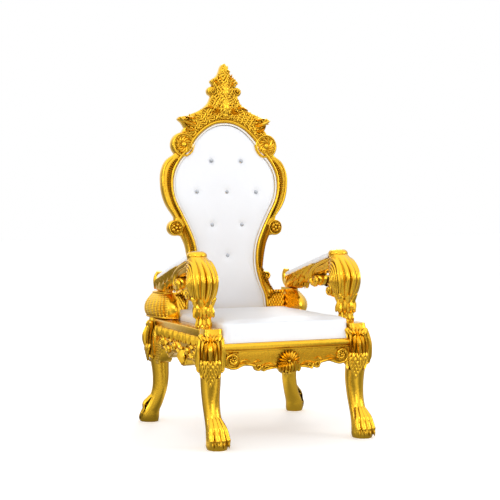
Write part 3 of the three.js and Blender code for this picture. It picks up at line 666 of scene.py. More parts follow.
def opening_half(inset=0.0, count=90):
    """The right half of the opening's edge, moved inwards by a distance."""
    half = curve_through(OPENING, count)
    ahead = np.gradient(half, axis=0)
    ahead[0] = (1, 0)
    moved = half + unit(np.column_stack([ahead[:, 1], -ahead[:, 0]])) * inset
    moved[0, 0] = 0
    return moved


def whole_loop(half):
    mirror = half[half[:, 0] > 1e-6][::-1] * [-1, 1]
    return np.concatenate([half, mirror])


def onto_back(points):
    """Turns points from the back's own frame (x, depth, height) to the chair's, with the back's lean."""
    x, y, z = points.T
    lean, rise = math.sin(BACK_LEAN), math.cos(BACK_LEAN)
    return np.column_stack([x, BACK_FRONT_Y + y * rise + z * lean, BACK_FOOT + z * rise - y * lean])


def closed_bar(loop, y, half, sides=10):
    """A round bar along a closed loop in x and z, at depth y. half gives its half width and half depth."""
    ahead = unit(np.roll(loop, -1, 0) - np.roll(loop, 1, 0))
    aside = np.column_stack([ahead[:, 1], -ahead[:, 0]])
    count = len(loop)

    def place(u, v):
        i = np.rint(v * count).astype(int) % count
        angle = 2 * math.pi * u
        flat = loop[i] + aside[i] * (half[0] * np.cos(angle))[:, None]
        return np.column_stack([flat[:, 0], y + half[1] * np.sin(angle), flat[:, 1]])

    return wrapped_grid(sides, count, place, closed_ends=False)


def flat_spine(points, y=0.0, side=1, bulge=0.0):
    """A spine on the back's face through points in x and height, standing out by bulge at its middle."""
    x, z = curve_through(points, 10).T
    return np.column_stack([side * x, y - bulge * np.sin(np.linspace(0, math.pi, 10)), z])


def within(loop, x, z):
    """Whether a point lies inside a closed loop."""
    ahead = np.roll(loop, -1, 0)
    crosses = (loop[:, 1] > z) != (ahead[:, 1] > z)
    rise = np.where(ahead[:, 1] == loop[:, 1], 1e-9, ahead[:, 1] - loop[:, 1])
    at = loop[:, 0] + (z - loop[:, 1]) * (ahead[:, 0] - loop[:, 0]) / rise
    return np.count_nonzero(crosses & (x < at)) % 2 == 1


def crest_swell(x, z):
    """The depth of the crest's face, which stands out along its middle and sinks towards its edges."""
    ridge = 0.016 * math.exp(-((x / 0.030) ** 2)) * float(smooth_step(z, 0.900, 0.960))
    return -0.001 - ridge * float(1 - smooth_step(z, 1.130, 1.172))


def crest_spots():
    """Staggered places over the crest's right half, clear of the opening, roundel, curl and outline."""
    pitch_x, pitch_z, margin = 0.0130, 0.0105, 0.0065
    outer = whole_loop(outer_half())
    inner = whole_loop(opening_half(-0.019))
    spots = []
    for row, z in enumerate(np.arange(0.826, 1.158, pitch_z)):
        for x in np.arange(0.0, 0.236, pitch_x) + (row % 2) * pitch_x / 2:
            near = [(x + margin, z), (x - margin, z), (x, z + margin), (x, z - margin)]
            clear = math.dist((x, z), ROUNDEL) > ROUNDEL_RADIUS * 1.04 and math.dist((x, z), CURL) > 0.021
            if clear and all(within(outer, *spot) and not within(inner, *spot) for spot in near):
                spots.append((x, z))
    return spots


LEAF_STACK = [
    # lowest, middle and highest point, depth, half width and height of the leaves up the crest's middle
    (1.084, 1.125, 1.169, -0.006, 0.023, 0.0100),
    (1.010, 1.050, 1.100, -0.013, 0.020, 0.0065),
    (0.936, 0.980, 1.030, -0.013, 0.020, 0.0065),
]
EDGE_LEAVES = [
    # the spine in x and height, and the half width
    ([(0.020, 1.058), (0.036, 1.076), (0.064, 1.092)], 0.0085),
    ([(0.012, 1.086), (0.026, 1.100), (0.036, 1.122)], 0.0075),
    ([(0.150, 0.884), (0.192, 0.892), (0.230, 0.911)], 0.0125),
    ([(0.150, 0.912), (0.176, 0.914), (0.202, 0.919)], 0.0085),
    ([(0.158, 0.856), (0.186, 0.862), (0.208, 0.884)], 0.0095),
    ([(0.060, 0.960), (0.086, 0.966), (0.114, 0.955)], 0.0080),
]


def crest_carving(carving):
    """Close foliage over a raised middle, leaves up it and at the edges, rays, a row of beads and two curls."""
    carving.bent("rib", flat_spine([(0, 0.915), (0, 0.98), (0, 1.06), (0, 1.150)]), OUT, 0.034, 0.0145)
    spots = crest_spots()

    def flow(x, z):
        return math.atan2(z - 0.790, x * 1.25) + 0.25 * math.sin(40 * x + 30 * z)

    length, relief = 0.0235, 0.0042
    carving.foliage(spots, flow, crest_swell, length, relief)
    mirrored = [(-x, z) for x, z in spots if x > 0.003]
    carving.foliage(mirrored, lambda x, z: math.pi - flow(-x, z), crest_swell, length, relief)
    for low, middle, high, y, width, height in LEAF_STACK:
        spine = flat_spine([(0, low), (0, middle), (0, high)], y, bulge=0.003)
        carving.bent("lobed", spine, OUT, width, height)
    carving.bead((0, -0.006, 0.928), (0.013, 0.010, 0.015), 9, 14)
    rim = opening_half(-0.0165)
    for side in SIDES:
        for points, width in EDGE_LEAVES:
            carving.bent("lobed", flat_spine(points, -0.003, side, 0.005), OUT, width, 0.0120)
        for ray in np.radians(np.arange(14, 70, 8)):
            near, far = 0.030 + 0.010 * math.sin(9 * ray), 0.092 - 0.020 * math.sin(2 * ray)
            points = [(reach * math.cos(ray + 0.5 * reach), 0.926 + reach * 0.72 * math.sin(ray + 0.5 * reach))
                      for reach in (near, 0.064, far)]
            carving.bent("lobed", flat_spine(points, -0.002, side, 0.003), OUT, 0.0062, 0.0085)
        for i in range(34):
            x, z = rim[int(1 + 1.12 * i)]
            carving.bead((side * x, -0.001, z), (0.0036, 0.0050, 0.0036), 5, 7)
        carving.scroll((side * CURL[0], 0, CURL[1]), (side, 0, 0), 0.018, 0.0050, 0.0120, 1.3, 2.4)
        carving.bead((side * CURL[0], -0.002, CURL[1]), (0.006, 0.010, 0.006))


def rosette(carving, side, centre, radius, hand, berries=0):
    """A rimmed disc with a spiral of leaves round a boss, and berries over them."""
    x, z = side * centre[0], centre[1]
    ring = arc((x, z), radius * 0.88, 0, 2 * math.pi, 26)
    carving.bent("rib", flat_spine(ring, 0.002), OUT, radius * 0.12, 0.0095)
    carving.scroll((x, 0.001, z), (side, 0, 0), radius * 0.80, radius * 0.10, 0.0085, 1.3, 2.2, hand, inner=0.3)
    for start in np.linspace(0, 2 * math.pi, 11, endpoint=False):
        angles = start + hand * side * np.linspace(0, 1.1, 8)
        reach = radius * np.linspace(0.22, 0.74, 8)
        points = np.column_stack([x + reach * np.cos(angles), z + reach * np.sin(angles)])
        carving.bent("leaflet", flat_spine(points, bulge=0.003), OUT, radius * 0.14, 0.0080)
    carving.bead((x, -0.003, z), (radius * 0.24, 0.010, radius * 0.24), 8, 12)
    for angle in np.linspace(0, 2 * math.pi, berries, endpoint=False):
        spot = (x + radius * 0.42 * math.cos(angle), -0.006, z + radius * 0.42 * math.sin(angle))
        carving.bead(spot, (radius * 0.19, 0.010, radius * 0.19), 6, 8)


def stile_carving(carving, side):
    """The leafy band of the belly, the slanting ribs of the neck and the leaves at the foot of a stile."""
    rim = [(0.262, 0.728), (0.290, 0.702), (0.307, 0.664), (0.310, 0.612), (0.292, 0.524), (0.246, 0.452)]
    carving.bent("rib", flat_spine(curve_through(rim, 30), 0.004, side), OUT, 0.0075, 0.0100)
    band = [(0.240, 0.722), (0.268, 0.690), (0.282, 0.644), (0.283, 0.594), (0.264, 0.520), (0.226, 0.446)]
    carving.frond(flat_spine(curve_through(band, 40), 0.001, side), 0.0135, 0.0080, 30, 0.85, 0.34)
    inner = curve_through([(0.206, 0.424), (0.180, 0.368), (0.160, 0.300), (0.156, 0.215)], 24)
    outer = curve_through([(0.216, 0.372), (0.200, 0.330), (0.187, 0.268), (0.179, 0.206)], 24)
    for low, high in zip(outer, inner):
        bend = (low + high) / 2 + [0.003, 0.007]
        carving.bent("leaflet", flat_spine([low, bend, high], 0.001, side, 0.003), OUT, 0.0040, 0.0085)
    foot = [(0.164, 0.200), (0.172, 0.150), (0.196, 0.090), (0.208, 0.012)]
    carving.bent("rib", flat_spine(foot, 0.002, side), OUT, 0.007, 0.010)
    plume = [(0.178, 0.212), (0.196, 0.160), (0.236, 0.106)]
    carving.frond(flat_spine(plume, 0, side, 0.004), 0.016, 0.0095, 8)
    curl_x, curl_z = side * FOOT_CURL[0], FOOT_CURL[1]
    carving.scroll((curl_x, 0, curl_z), (side, 0, 0), 0.019, 0.006, 0.0120, 1.3, 2.8, hand=-1)
    carving.bead((curl_x, -0.001, curl_z), (0.006, 0.010, 0.006))
    for row in range(8):
        for i in range(6):
            x, z = 0.219 + 0.0138 * i + 0.0069 * (row % 2), 0.100 - 0.0128 * row
            if x < 0.289:
                line = [(x, z + 0.009), (x - 0.001, z), (x - 0.004, z - 0.009)]
                carving.bent("scale", flat_spine(line, 0.001, side), OUT, 0.0082, 0.0090)
    leaf = [(0.212, 0.070), (0.236, 0.098), (0.276, 0.094)]
    carving.frond(flat_spine(leaf, -0.004, side, 0.003), 0.014, 0.0090, 6)


class THRONE_OT_back_frame(bpy.types.Operator):
    """Model the back's carved frame"""
    bl_idname = "throne.back_frame"
    bl_label = "Back frame"

    def execute(self, context):
        loops = [whole_loop(outer_half()), whole_loop(opening_half())]
        plate = flat_plate("back_plate", loops, 0.0, BACK_THICK, 0.008)
        fillet = closed_bar(whole_loop(opening_half(-0.008)), 0.0015, (0.0075, 0.009))
        carving = Carving()
        crest_carving(carving)
        for side in SIDES:
            rosette(carving, side, ROUNDEL, ROUNDEL_RADIUS, 1)
            rosette(carving, side, WAIST, WAIST_RADIUS, -1, berries=5)
            stile_carving(carving, side)
        piece = join([plate, fillet, carving.mesh("back_carving")], "back_frame_carved")
        move_points(piece, onto_back(points_of(piece)))
        finish_piece(piece, "back_frame_carved", gold_leaf(), "back_frame")
        return {"FINISHED"}


# ---- Upholstery ----
PANEL_MARGIN = 0.0104
PANEL_MIDDLE = 0.430
PANEL_STEP = 0.022
PANEL_REAR = 0.024
PANEL_EDGE = 0.007
CRYSTAL_SINK = 0.0012
BUTTON_ROWS = [(0.715, 2), (0.571, 3), (0.418, 2), (0.275, 1)]
BUTTON_SPACING = 0.149


def button_places():
    return [((i - (count - 1) / 2) * BUTTON_SPACING, z) for z, count in BUTTON_ROWS for i in range(count)]


def filled_in(loop, step):
    """The same loop with points added wherever two neighbours stand further apart than a step."""
    rows = []
    for here, there in zip(loop, np.roll(loop, -1, axis=0)):
        parts = max(1, math.ceil(np.hypot(*(there - here)) / step))
        rows += [here + (there - here) * k / parts for k in range(parts)]
    return np.array(rows)


def panel_face(share, x, z, sizes):
    """The depth of the panel's face at a place, whose share of the way in from the edge is given."""
    depth = PANEL_EDGE - sizes.panel_crown * np.sin(math.pi / 2 * np.clip(share * 1.7, 0, 1)) ** 0.75
    for button_x, button_z in button_places():
        away = np.hypot(x - button_x, z - button_z)
        pull = np.exp(-((away / 0.017) ** 2)) + 0.45 * np.exp(-((away / 0.045) ** 2))
        depth = depth + sizes.dimple_depth * pull
    return depth


class THRONE_OT_back_panel(bpy.types.Operator):
    """Model the tufted panel, its piping and its rear cover"""
    bl_idname = "throne.back_panel"
    bl_label = "Back panel"

    def execute(self, context):
        sizes = context.scene.throne_sizes
        edge = filled_in(whole_loop(opening_half(PANEL_MARGIN, 70)), PANEL_STEP)
        count = len(edge)

        def place(u, v):
            i = np.rint(u * count).astype(int) % count
            share = np.clip((v - 0.08) / 0.92, 0, 0.999) ** 1.15
            x = edge[i, 0] * (1 - share)
            z = PANEL_MIDDLE + (edge[i, 1] - PANEL_MIDDLE) * (1 - share)
            return np.column_stack([x, np.where(v < 0.04, PANEL_REAR, panel_face(share, x, z, sizes)), z])

        panel = wrapped_grid(count, 48, place)
        move_points(panel, onto_back(points_of(panel)))
        apply_modifier(panel, "SUBSURF", levels=1, render_levels=1)
        finish_piece(panel, "back_panel_tufted", white_leather(), "back_panel", angle=80)

        radius = sizes.piping_radius
        piping = closed_bar(whole_loop(opening_half(radius + 0.0006)), 0.0015, (radius, radius * 1.15), 14)
        move_points(piping, onto_back(points_of(piping)))
        finish_piece(piping, "back_piping_cord", cord_leather(), "back_piping", angle=80)

        loop = whole_loop(opening_half(0.0012))
        cover = flat_plate("rear_cover", [loop], BACK_THICK - 0.010, BACK_THICK - 0.002, 0.003)
        move_points(cover, onto_back(points_of(cover)))
        finish_piece(cover, "back_rear_cover_board", white_leather(), "back_rear_cover")
        return {"FINISHED"}


class THRONE_OT_crystal_buttons(bpy.types.Operator):
    """Model one cut crystal and set a copy in each dimple"""
    bl_idname = "throne.crystal_buttons"
    bl_label = "Crystal buttons"

    def execute(self, context):
        sizes = context.scene.throne_sizes
        gem = new_mesh("cylinder", vertices=8, radius=sizes.button_radius, depth=0.003, end_fill_type="NGON")
        with editing(gem):
            shape = bmesh.from_edit_mesh(gem.data)
            for face in shape.faces:
                face.select_set(face.normal.z > 0.9)
            bmesh.update_edit_mesh(gem.data)
            bpy.ops.mesh.extrude_region_move(TRANSFORM_OT_translate={"value": (0, 0, 0.0028)})
            bpy.ops.transform.resize(value=(0.72, 0.72, 1))
            bpy.ops.transform.rotate(value=math.pi / 8, orient_axis="Z", center_override=(0, 0, 0))
            bpy.ops.mesh.extrude_region_move(TRANSFORM_OT_translate={"value": (0, 0, 0.0014)})
            bpy.ops.transform.resize(value=(0.55, 0.55, 1))
            bpy.ops.mesh.select_all(action="SELECT")
            bpy.ops.mesh.quads_convert_to_tris()
        cut = points_of(gem)
        for i, (x, z) in enumerate(button_places()):
            name = f"crystal_button_{i + 1}"
            copy = gem.copy()
            copy.data = gem.data.copy()
            context.scene.collection.objects.link(copy)
            front = panel_face(0.6, x, z, sizes) - CRYSTAL_SINK
            move_points(copy, onto_back(np.column_stack([x + cut[:, 0], front - cut[:, 2], z + cut[:, 1]])))
            face_outwards(copy)
            finish_piece(copy, f"{name}_cut", cut_crystal(), name, angle=5)
        bpy.data.objects.remove(gem)
        return {"FINISHED"}


class THRONE_OT_bare_boards(bpy.types.Operator):
    """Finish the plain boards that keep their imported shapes"""
    bl_idname = "throne.bare_boards"
    bl_label = "Back rail and deck"

    def execute(self, context):
        for name, material in (("seat_board", bare_plywood()), ("back_rail", gold_leaf())):
            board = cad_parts[name]
            board.data.materials.clear()
            board.data.materials.append(material)
        return {"FINISHED"}


# ---- Legs ----
FRONT_LEG = [
    # height, x, y, half width, half depth
    (0.000, 0.335, -0.374, 0.041, 0.044), (0.012, 0.335, -0.374, 0.045, 0.048),
    (0.030, 0.335, -0.373, 0.045, 0.048), (0.050, 0.335, -0.367, 0.043, 0.045),
    (0.080, 0.335, -0.351, 0.038, 0.040), (0.112, 0.335, -0.334, 0.0355, 0.0370),
    (0.150, 0.335, -0.317, 0.0350, 0.0370), (0.200, 0.335, -0.306, 0.0375, 0.0395),
    (0.250, 0.335, -0.304, 0.0410, 0.0435), (0.300, 0.337, -0.309, 0.0430, 0.0480),
    (0.345, 0.340, -0.317, 0.0450, 0.0530), (0.400, 0.341, -0.321, 0.0450, 0.0550),
    (0.440, 0.338, -0.314, 0.0425, 0.0480), (0.470, 0.335, -0.305, 0.0385, 0.0410),
    (0.485, 0.334, -0.303, 0.0370, 0.0380),
]
BACK_LEG = [
    # height, x, y, half width, half depth
    (0.000, 0.370, 0.365, 0.037, 0.042), (0.012, 0.371, 0.366, 0.041, 0.046),
    (0.030, 0.370, 0.364, 0.041, 0.046), (0.050, 0.366, 0.361, 0.040, 0.043),
    (0.080, 0.352, 0.352, 0.037, 0.039), (0.112, 0.340, 0.344, 0.0350, 0.0360),
    (0.150, 0.330, 0.337, 0.0345, 0.0350), (0.200, 0.326, 0.333, 0.0360, 0.0370),
    (0.250, 0.328, 0.332, 0.0395, 0.0395), (0.300, 0.334, 0.332, 0.0430, 0.0450),
    (0.345, 0.340, 0.334, 0.0460, 0.0490), (0.400, 0.341, 0.334, 0.0460, 0.0490),
    (0.440, 0.337, 0.331, 0.0425, 0.0430), (0.470, 0.334, 0.328, 0.0390, 0.0390),
    (0.480, 0.333, 0.328, 0.0380, 0.0380),
]
KNEE_TURN = math.radians(-23)  # the carving of both front knees is turned the same way
BACK_KNEE_TURN = math.radians(108)
BACK_PAW_TURN = math.radians(135)
SIDE_LEAVES = [
    # the kind, the path in height, angle and lift, and the half width of the leaves beside a knee
    ("lobed", [(0.446, 1.22, 0.001), (0.412, 1.46, 0.006), (0.364, 1.44, 0.010), (0.330, 1.22, 0.007)], 0.0160),
    ("leaf", [(0.396, 1.18, 0.003), (0.350, 1.22, 0.007), (0.306, 0.98, 0.005)], 0.0130),
]
SCALE_COUNTS = (5, 4, 5, 4, 3, 2, 1)
TOE_PATH = [
    # forwards, height, and how far the toes are spread
    (-0.018, 0.128, 0.50), (0.000, 0.104, 0.66), (0.018, 0.082, 0.82),
]


def corner_power(z):
    """How square a leg's section is: round below, and squarer at its block."""
    return 2 + 3.5 * np.clip((z - 0.44) / 0.04, 0, 1)


def squared(value, power):
    """A sine or cosine brought nearer to a square's corners by a power below one."""
    return np.sign(value) * np.abs(value) ** power


def facing_and_aside(turn):
    """The level direction that something turned faces, and the one across it."""
    return np.array([math.sin(turn), -math.cos(turn)]), np.array([math.cos(turn), math.sin(turn)])


def leg_shaft(rows, turn):
    """The smooth body of a leg, with its depth turned to face turn."""
    facing, aside = facing_and_aside(turn)

    def place(u, v):
        z = v * rows[-1][0]
        x, y, wide, deep = spline(rows, z).T
        angle = 2 * math.pi * u
        power = 2 / corner_power(z)
        across = squared(np.cos(angle), power) * wide
        along = squared(np.sin(angle), power) * deep
        flat = [start + across * aside[i] + along * facing[i] for i, start in enumerate((x, y))]
        return np.column_stack([*flat, z])

    return wrapped_grid(48, 90, place)


def leg_skin(rows, turn, z, angle, lift):
    """A point above a leg's skin and its outward direction, at an angle from the way the leg faces."""
    x, y, wide, deep = spline(rows, np.array([z]))[0]
    facing, aside = facing_and_aside(turn)
    out = aside * math.sin(angle) + facing * math.cos(angle)
    power = corner_power(z)
    reach = (abs(math.sin(angle) / wide) ** power + abs(math.cos(angle) / deep) ** power) ** (-1 / power) + lift
    return [x + out[0] * reach, y + out[1] * reach, z], [*out, 0.12]


def knee_carving(carving, rows, turn, low):
    """A small shell over tall lobes and a tapering cluster of scales, with curled leaves at both sides."""
    def add(kind, path, width, height):
        spine, normals = zip(*(leg_skin(rows, turn, *spot) for spot in curve_through(path, 9)))
        carving.bent(kind, spine, normals, width, height, sink=0.001)

    for spread in (-0.66, -0.33, 0, 0.33, 0.66):
        top = (0.470 - 0.010 * abs(spread), spread * 1.1, 0.004)
        add("leaf", [(0.436, spread * 0.3, 0.003), (0.452, spread * 0.8, 0.008), top], 0.0082, 0.0110)
    add("leaf", [(0.440, 0, 0.004), (0.400, 0, 0.009), (0.338, 0, 0.006)], 0.0112, 0.0130)
    lowest = ("leaf", [(0.336, 0.96, 0.002), (0.304, 0.84, 0.005), (low + 0.020, 0.54, 0.003)], 0.0095)
    for side in SIDES:
        for i, spread in enumerate((0.30, 0.60, 0.92)):
            foot = (0.342 + 0.008 * i, side * spread, 0.006)
            path = [(0.438, side * spread * 0.6, 0.003), (0.402, side * spread, 0.008), foot]
            add("leaf", path, 0.0104, 0.0125)
        for kind, path, width in (*SIDE_LEAVES, lowest):
            add(kind, [(z, side * angle, lift) for z, angle, lift in path], width, 0.0110)
    for row, count in enumerate(SCALE_COUNTS):
        share = row / (len(SCALE_COUNTS) - 1)
        z = 0.348 - (0.348 - low - 0.004) * share
        reach = 0.90 * (1 - share) + 0.16 * share
        for i in range(count):
            angle = reach * (2 * (i + 0.5) / count - 1)
            high, low_end = (z + 0.012, angle * 0.97, 0.001), (z - 0.018, angle * 0.99, 0.006)
            add("scale", [high, (z - 0.004, angle, 0.006), low_end], 0.0102, 0.0125)
    add("leaf", [(low + 0.010, 0, 0.001), (low - 0.006, 0, 0.004), (low - 0.020, 0, 0.002)], 0.007, 0.007)


def paw_carving(carving, centre, turn, width, reach):
    """Four long rounded toes with small claws."""
    facing, aside = (np.append(way, 0) for way in facing_and_aside(turn))
    path = [*TOE_PATH, (reach - 0.014, 0.060, 0.96), (reach - 0.001, 0.036, 1.04), (reach, 0.014, 1.04)]
    for place in (-1.5, -0.5, 0.5, 1.5):
        back = 0.005 * abs(place) ** 1.5
        line = [[*centre, z] + facing * (forward - back) + aside * width * place * share
                for forward, z, share in path]
        spine = curve_through(line, 16)
        normals = unit(np.cross(np.gradient(spine, axis=0), aside))
        normals *= np.sign(normals @ (facing + UP * 1.2))[:, None]
        carving.bent("rib", spine, normals, width * 0.62, 0.0125, sink=0.002)
        carving.bead(spine[12] - normals[12] * 0.002, (width * 0.53, width * 0.53, width * 0.53), 11, 18)
        carving.bead(spine[7], (width * 0.48, width * 0.48, width * 0.384), 11, 18)
        root = spine[13] + normals[13] * 0.008
        tip = np.array([*centre, 0.006]) + facing * (reach + 0.0085 - back) + aside * width * place * 1.03
        bend = (root + tip) / 2 + facing * 0.002
        carving.bent("leaflet", [root, bend, tip], facing + UP * 0.4, 0.0046, 0.0040)


def rounded_block(low, high, bevel):
    size = Vector(high) - Vector(low)
    block = new_mesh("cube", size=1, location=(Vector(high) + Vector(low)) / 2, scale=size)
    bpy.ops.object.transform_apply(location=True, rotation=True, scale=True)
    apply_modifier(block, "BEVEL", width=bevel, segments=3)
    return block


def leg_piece(rows, block, shaft_turn, knee_turn, knee_foot, paw):
    """A leg from its shaft, its block under the seat and its carving, cut level at the floor."""
    carving = Carving()
    knee_carving(carving, rows, knee_turn, knee_foot)
    paw_carving(carving, *paw)
    parts = [leg_shaft(rows, shaft_turn), rounded_block(*block, 0.003), carving.mesh("leg_carving")]
    leg = join(parts, "leg")
    with editing(leg):
        bpy.ops.mesh.bisect(plane_co=(0, 0, 0), plane_no=(0, 0, -1), clear_outer=True, use_fill=True)
    return leg


class THRONE_OT_legs(bpy.types.Operator):
    """Model the front legs and the mirrored back legs"""
    bl_idname = "throne.legs"
    bl_label = "Legs"

    def execute(self, context):
        for side in SIDES:
            rows = [(z, side * x, y, wide, deep) for z, x, y, wide, deep in FRONT_LEG]
            inner, outer = sorted((side * JOINT_X, side * 0.368))
            paw = ((side * LEG_X, -0.378), 0.0, 0.0228, 0.040)
            block = ((inner, -0.336, 0.345), (outer, -0.265, 0.4848))
            leg = leg_piece(rows, block, 0.0, KNEE_TURN, 0.264, paw)
            name = f"front_leg_{SIDE_NAMES[side]}"
            finish_piece(leg, f"{name}_carved", gold_leaf(), name)
        paw = ((0.372, 0.367), BACK_PAW_TURN, 0.0205, 0.030)
        block = ((JOINT_X, 0.2905, 0.345), (0.369, 0.364, 0.4798))
        leg = leg_piece(BACK_LEG, block, BACK_PAW_TURN, BACK_KNEE_TURN, 0.296, paw)
        finish_pair(leg, "back_leg", gold_leaf())
        return {"FINISHED"}


# ---- Arms ----
PAD_FRONT_Y = -0.108
PAD_REAR_Y = 0.318
PAD_TOP = 0.786
PAD_THICK = 0.028
PAD_HALF_WIDTH = 0.031
ARM_SLOPE = 0.26
BRACKET_TOP = 0.600
BRACKET_FRONT_Y = 0.176
VOLUTE = [
    # height, y, half width, half depth
    (0.574, -0.225, 0.026, 0.030), (0.602, -0.224, 0.040, 0.056), (0.636, -0.217, 0.050, 0.084),
    (0.676, -0.211, 0.054, 0.100), (0.712, -0.200, 0.052, 0.094), (0.748, -0.178, 0.046, 0.072),
    (0.776, -0.154, 0.038, 0.042),
]
VOLUTE_FLUTES = 11
ARM_RAIL = [
    # y, height, half height, half width
    (-0.165, 0.748, 0.023, 0.035), (-0.100, 0.727, 0.027, 0.036), (0.000, 0.702, 0.026, 0.035),
    (0.100, 0.674, 0.026, 0.035), (0.200, 0.646, 0.028, 0.035), (0.330, 0.626, 0.023, 0.032),
    (0.358, 0.628, 0.015, 0.025),
]
ARM_POST = [
    # height, radius
    (0.4803, 0.0310), (0.4880, 0.0305), (0.4950, 0.0272), (0.5060, 0.0252), (0.5220, 0.0262), (0.5420, 0.0300),
    (0.5620, 0.0310), (0.5820, 0.0265), (0.6050, 0.0240),
]
KNOB = [
    # height, radius
    (0.744, 0.034), (0.757, 0.0385), (0.770, 0.0425), (0.781, 0.0430), (0.790, 0.0375), (0.7955, 0.0270),
    (0.7970, 0.0120),
]
POST_Y = -0.225
KNOB_Y = -0.150
CURL_X = 0.323
ROLL_X = 0.326
ARM_SKIN = 0.0315
SCROLL_LINE = [
    # y, height
    (-0.138, 0.752), (-0.080, 0.738), (-0.014, 0.716), (0.036, 0.686), (0.046, 0.654), (0.020, 0.632),
    (-0.012, 0.636), (-0.018, 0.658), (0.000, 0.668),
]
SCROLL_VEIN = [(-0.120, 0.730), (-0.060, 0.718), (-0.006, 0.700), (0.022, 0.676)]
ARM_LEAVES = [
    # the spine in y and height, and the half width
    ([(0.020, 0.722), (0.066, 0.706), (0.108, 0.672), (0.128, 0.648)], 0.0150),
    ([(0.078, 0.708), (0.124, 0.692), (0.166, 0.658), (0.184, 0.634)], 0.0150),
    ([(0.136, 0.692), (0.182, 0.676), (0.222, 0.644), (0.238, 0.620)], 0.0150),
    ([(0.194, 0.676), (0.236, 0.662), (0.276, 0.632), (0.290, 0.610)], 0.0150),
    ([(0.250, 0.662), (0.288, 0.650), (0.318, 0.628), (0.330, 0.608)], 0.0140),
    ([(0.052, 0.678), (0.076, 0.662), (0.090, 0.640)], 0.0090),
    ([(0.108, 0.658), (0.136, 0.642), (0.152, 0.622)], 0.0090),
    ([(0.166, 0.642), (0.194, 0.626), (0.208, 0.608)], 0.0090),
]
POST_LEAVES = [
    # kind, count, part of a step turned, path in height and distance from the axis, half width, height
    ("lobed", 7, 0.0, [(0.556, 0.026), (0.578, 0.034), (0.598, 0.044), (0.606, 0.054)], 0.017, 0.012),
    ("lobed", 7, 0.5, [(0.588, 0.024), (0.560, 0.035), (0.534, 0.034), (0.512, 0.026)], 0.015, 0.011),
    ("leaf", 7, 0.0, [(0.580, 0.026), (0.548, 0.037), (0.530, 0.040), (0.524, 0.044)], 0.009, 0.010),
    ("leaf", 9, 0.0, [(0.526, 0.025), (0.506, 0.026), (0.494, 0.030), (0.483, 0.034)], 0.0095, 0.0085),
]


def arm_x(y):
    return LEG_X - 0.012 * np.clip((np.asarray(y) + 0.15) / 0.468, 0, 1)


def pad_top(y):
    return PAD_TOP - ARM_SLOPE * (np.asarray(y) - PAD_FRONT_Y)


def turned(centre, profile):
    """A turned body through a profile of [height, radius]."""
    rows = np.column_stack([np.arange(len(profile)), profile])
    last = len(profile) - 1

    def place(u, v):
        z, radius = spline(rows, v * last).T
        angle = 2 * math.pi * u
        return np.column_stack([centre[0] + radius * np.cos(angle), centre[1] + radius * np.sin(angle), z])

    return wrapped_grid(44, last * 5, place)


def swept(points, halves, aside, sides=18, count=30):
    """A bar along a smooth curve. halves gives [half width along aside, half thickness] at each point."""
    rows = curve_through(np.column_stack([points, halves]), 60)
    spots = np.linspace(0, 1, len(rows))
    ahead = np.gradient(rows[:, :3], axis=0)
    aside = np.asarray(aside, float)

    def place(u, v):
        at = spline(np.column_stack([spots, rows]), v)
        out = unit(np.cross(spline(np.column_stack([spots, ahead]), v), aside))
        angle = 2 * math.pi * u[:, None]
        return at[:, :3] + np.cos(angle) * at[:, 3:4] * aside + np.sin(angle) * at[:, 4:5] * out

    return wrapped_grid(sides, count, place)


def straight_bar(start, end, half_height, half_thickness, sides):
    """A straight round bar between two points."""
    return swept(np.linspace(start, end, 3), [[half_height, half_thickness]] * 3, UP, sides, 8)


def volute_body():
    """The fluted scroll at the front of an arm."""
    low, high = VOLUTE[0][0], VOLUTE[-1][0]

    def place(u, v):
        z = low + v * (high - low)
        y, wide, deep = spline(VOLUTE, z).T
        turn = 2 * math.pi * (u - 0.5)
        ahead = smooth_step(np.cos(turn), -0.1, 0.45)
        ends = smooth_step(v, 0.0, 0.22) * (1 - smooth_step(v, 0.82, 1.0))
        ridges = np.abs(np.cos(VOLUTE_FLUTES * turn / 2)) ** 0.75
        reach = 1 - 0.17 * (1 - ridges) * ahead * ends
        return np.column_stack([LEG_X + wide * reach * np.sin(turn), y - deep * reach * np.cos(turn), z])

    return wrapped_grid(150, 54, place)


def volute_side(y, z, side):
    """The point on a scroll's side, and its outward direction."""
    middle, wide, deep = spline(VOLUTE, np.array([z]))[0]
    share = np.clip((y - middle) / deep, -0.96, 0.96)
    across = wide * math.sqrt(1 - share**2)
    return [LEG_X + side * across, y, z], [side * math.sqrt(1 - share**2) / wide, share / deep, 0.0]


def hair_ribs(carving, side):
    """Fine ribs that sweep over a scroll's side and curl in at its lower rear."""
    for ring in range(7):
        reach_y, reach_z = 0.013 + 0.0128 * ring, 0.014 + 0.0150 * ring
        spine, normals = [], []
        for angle in np.radians(np.linspace(62 - 3 * ring, 330 - 13 * ring, 14)):
            y, z = -0.166 + reach_y * math.cos(angle), 0.654 + reach_z * math.sin(angle)
            point, normal = volute_side(y, max(z, 0.585), side)
            spine.append(point)
            normals.append(normal)
        carving.bent("rib", spine, unit(np.array(normals)), 0.0056, 0.0098, 0.0015)


def ring_of_leaves(carving, kind, count, turn, path, width, height):
    """Leaves around the post, each along a path of [height, distance from the post's axis]."""
    for i in range(count):
        angle = 2 * math.pi * (i + turn) / count
        out = np.array([math.cos(angle), math.sin(angle)])
        spine = [[LEG_X + out[0] * reach, POST_Y + out[1] * reach, z] for z, reach in path]
        normals = np.cross(np.gradient(np.array(spine), axis=0), [-out[1], out[0], 0])
        normals *= np.sign(normals @ np.array([*out, 0.01]))[:, None]
        carving.bent(kind, spine, unit(normals), width, height)


def beside_arm(points, side, out=ARM_SKIN):
    """A spine beside an arm from points of depth and height. out is the distance from the arm's middle."""
    return [[float(arm_x(y)) + side * out, y, z] for y, z in curve_through(points, 14)]


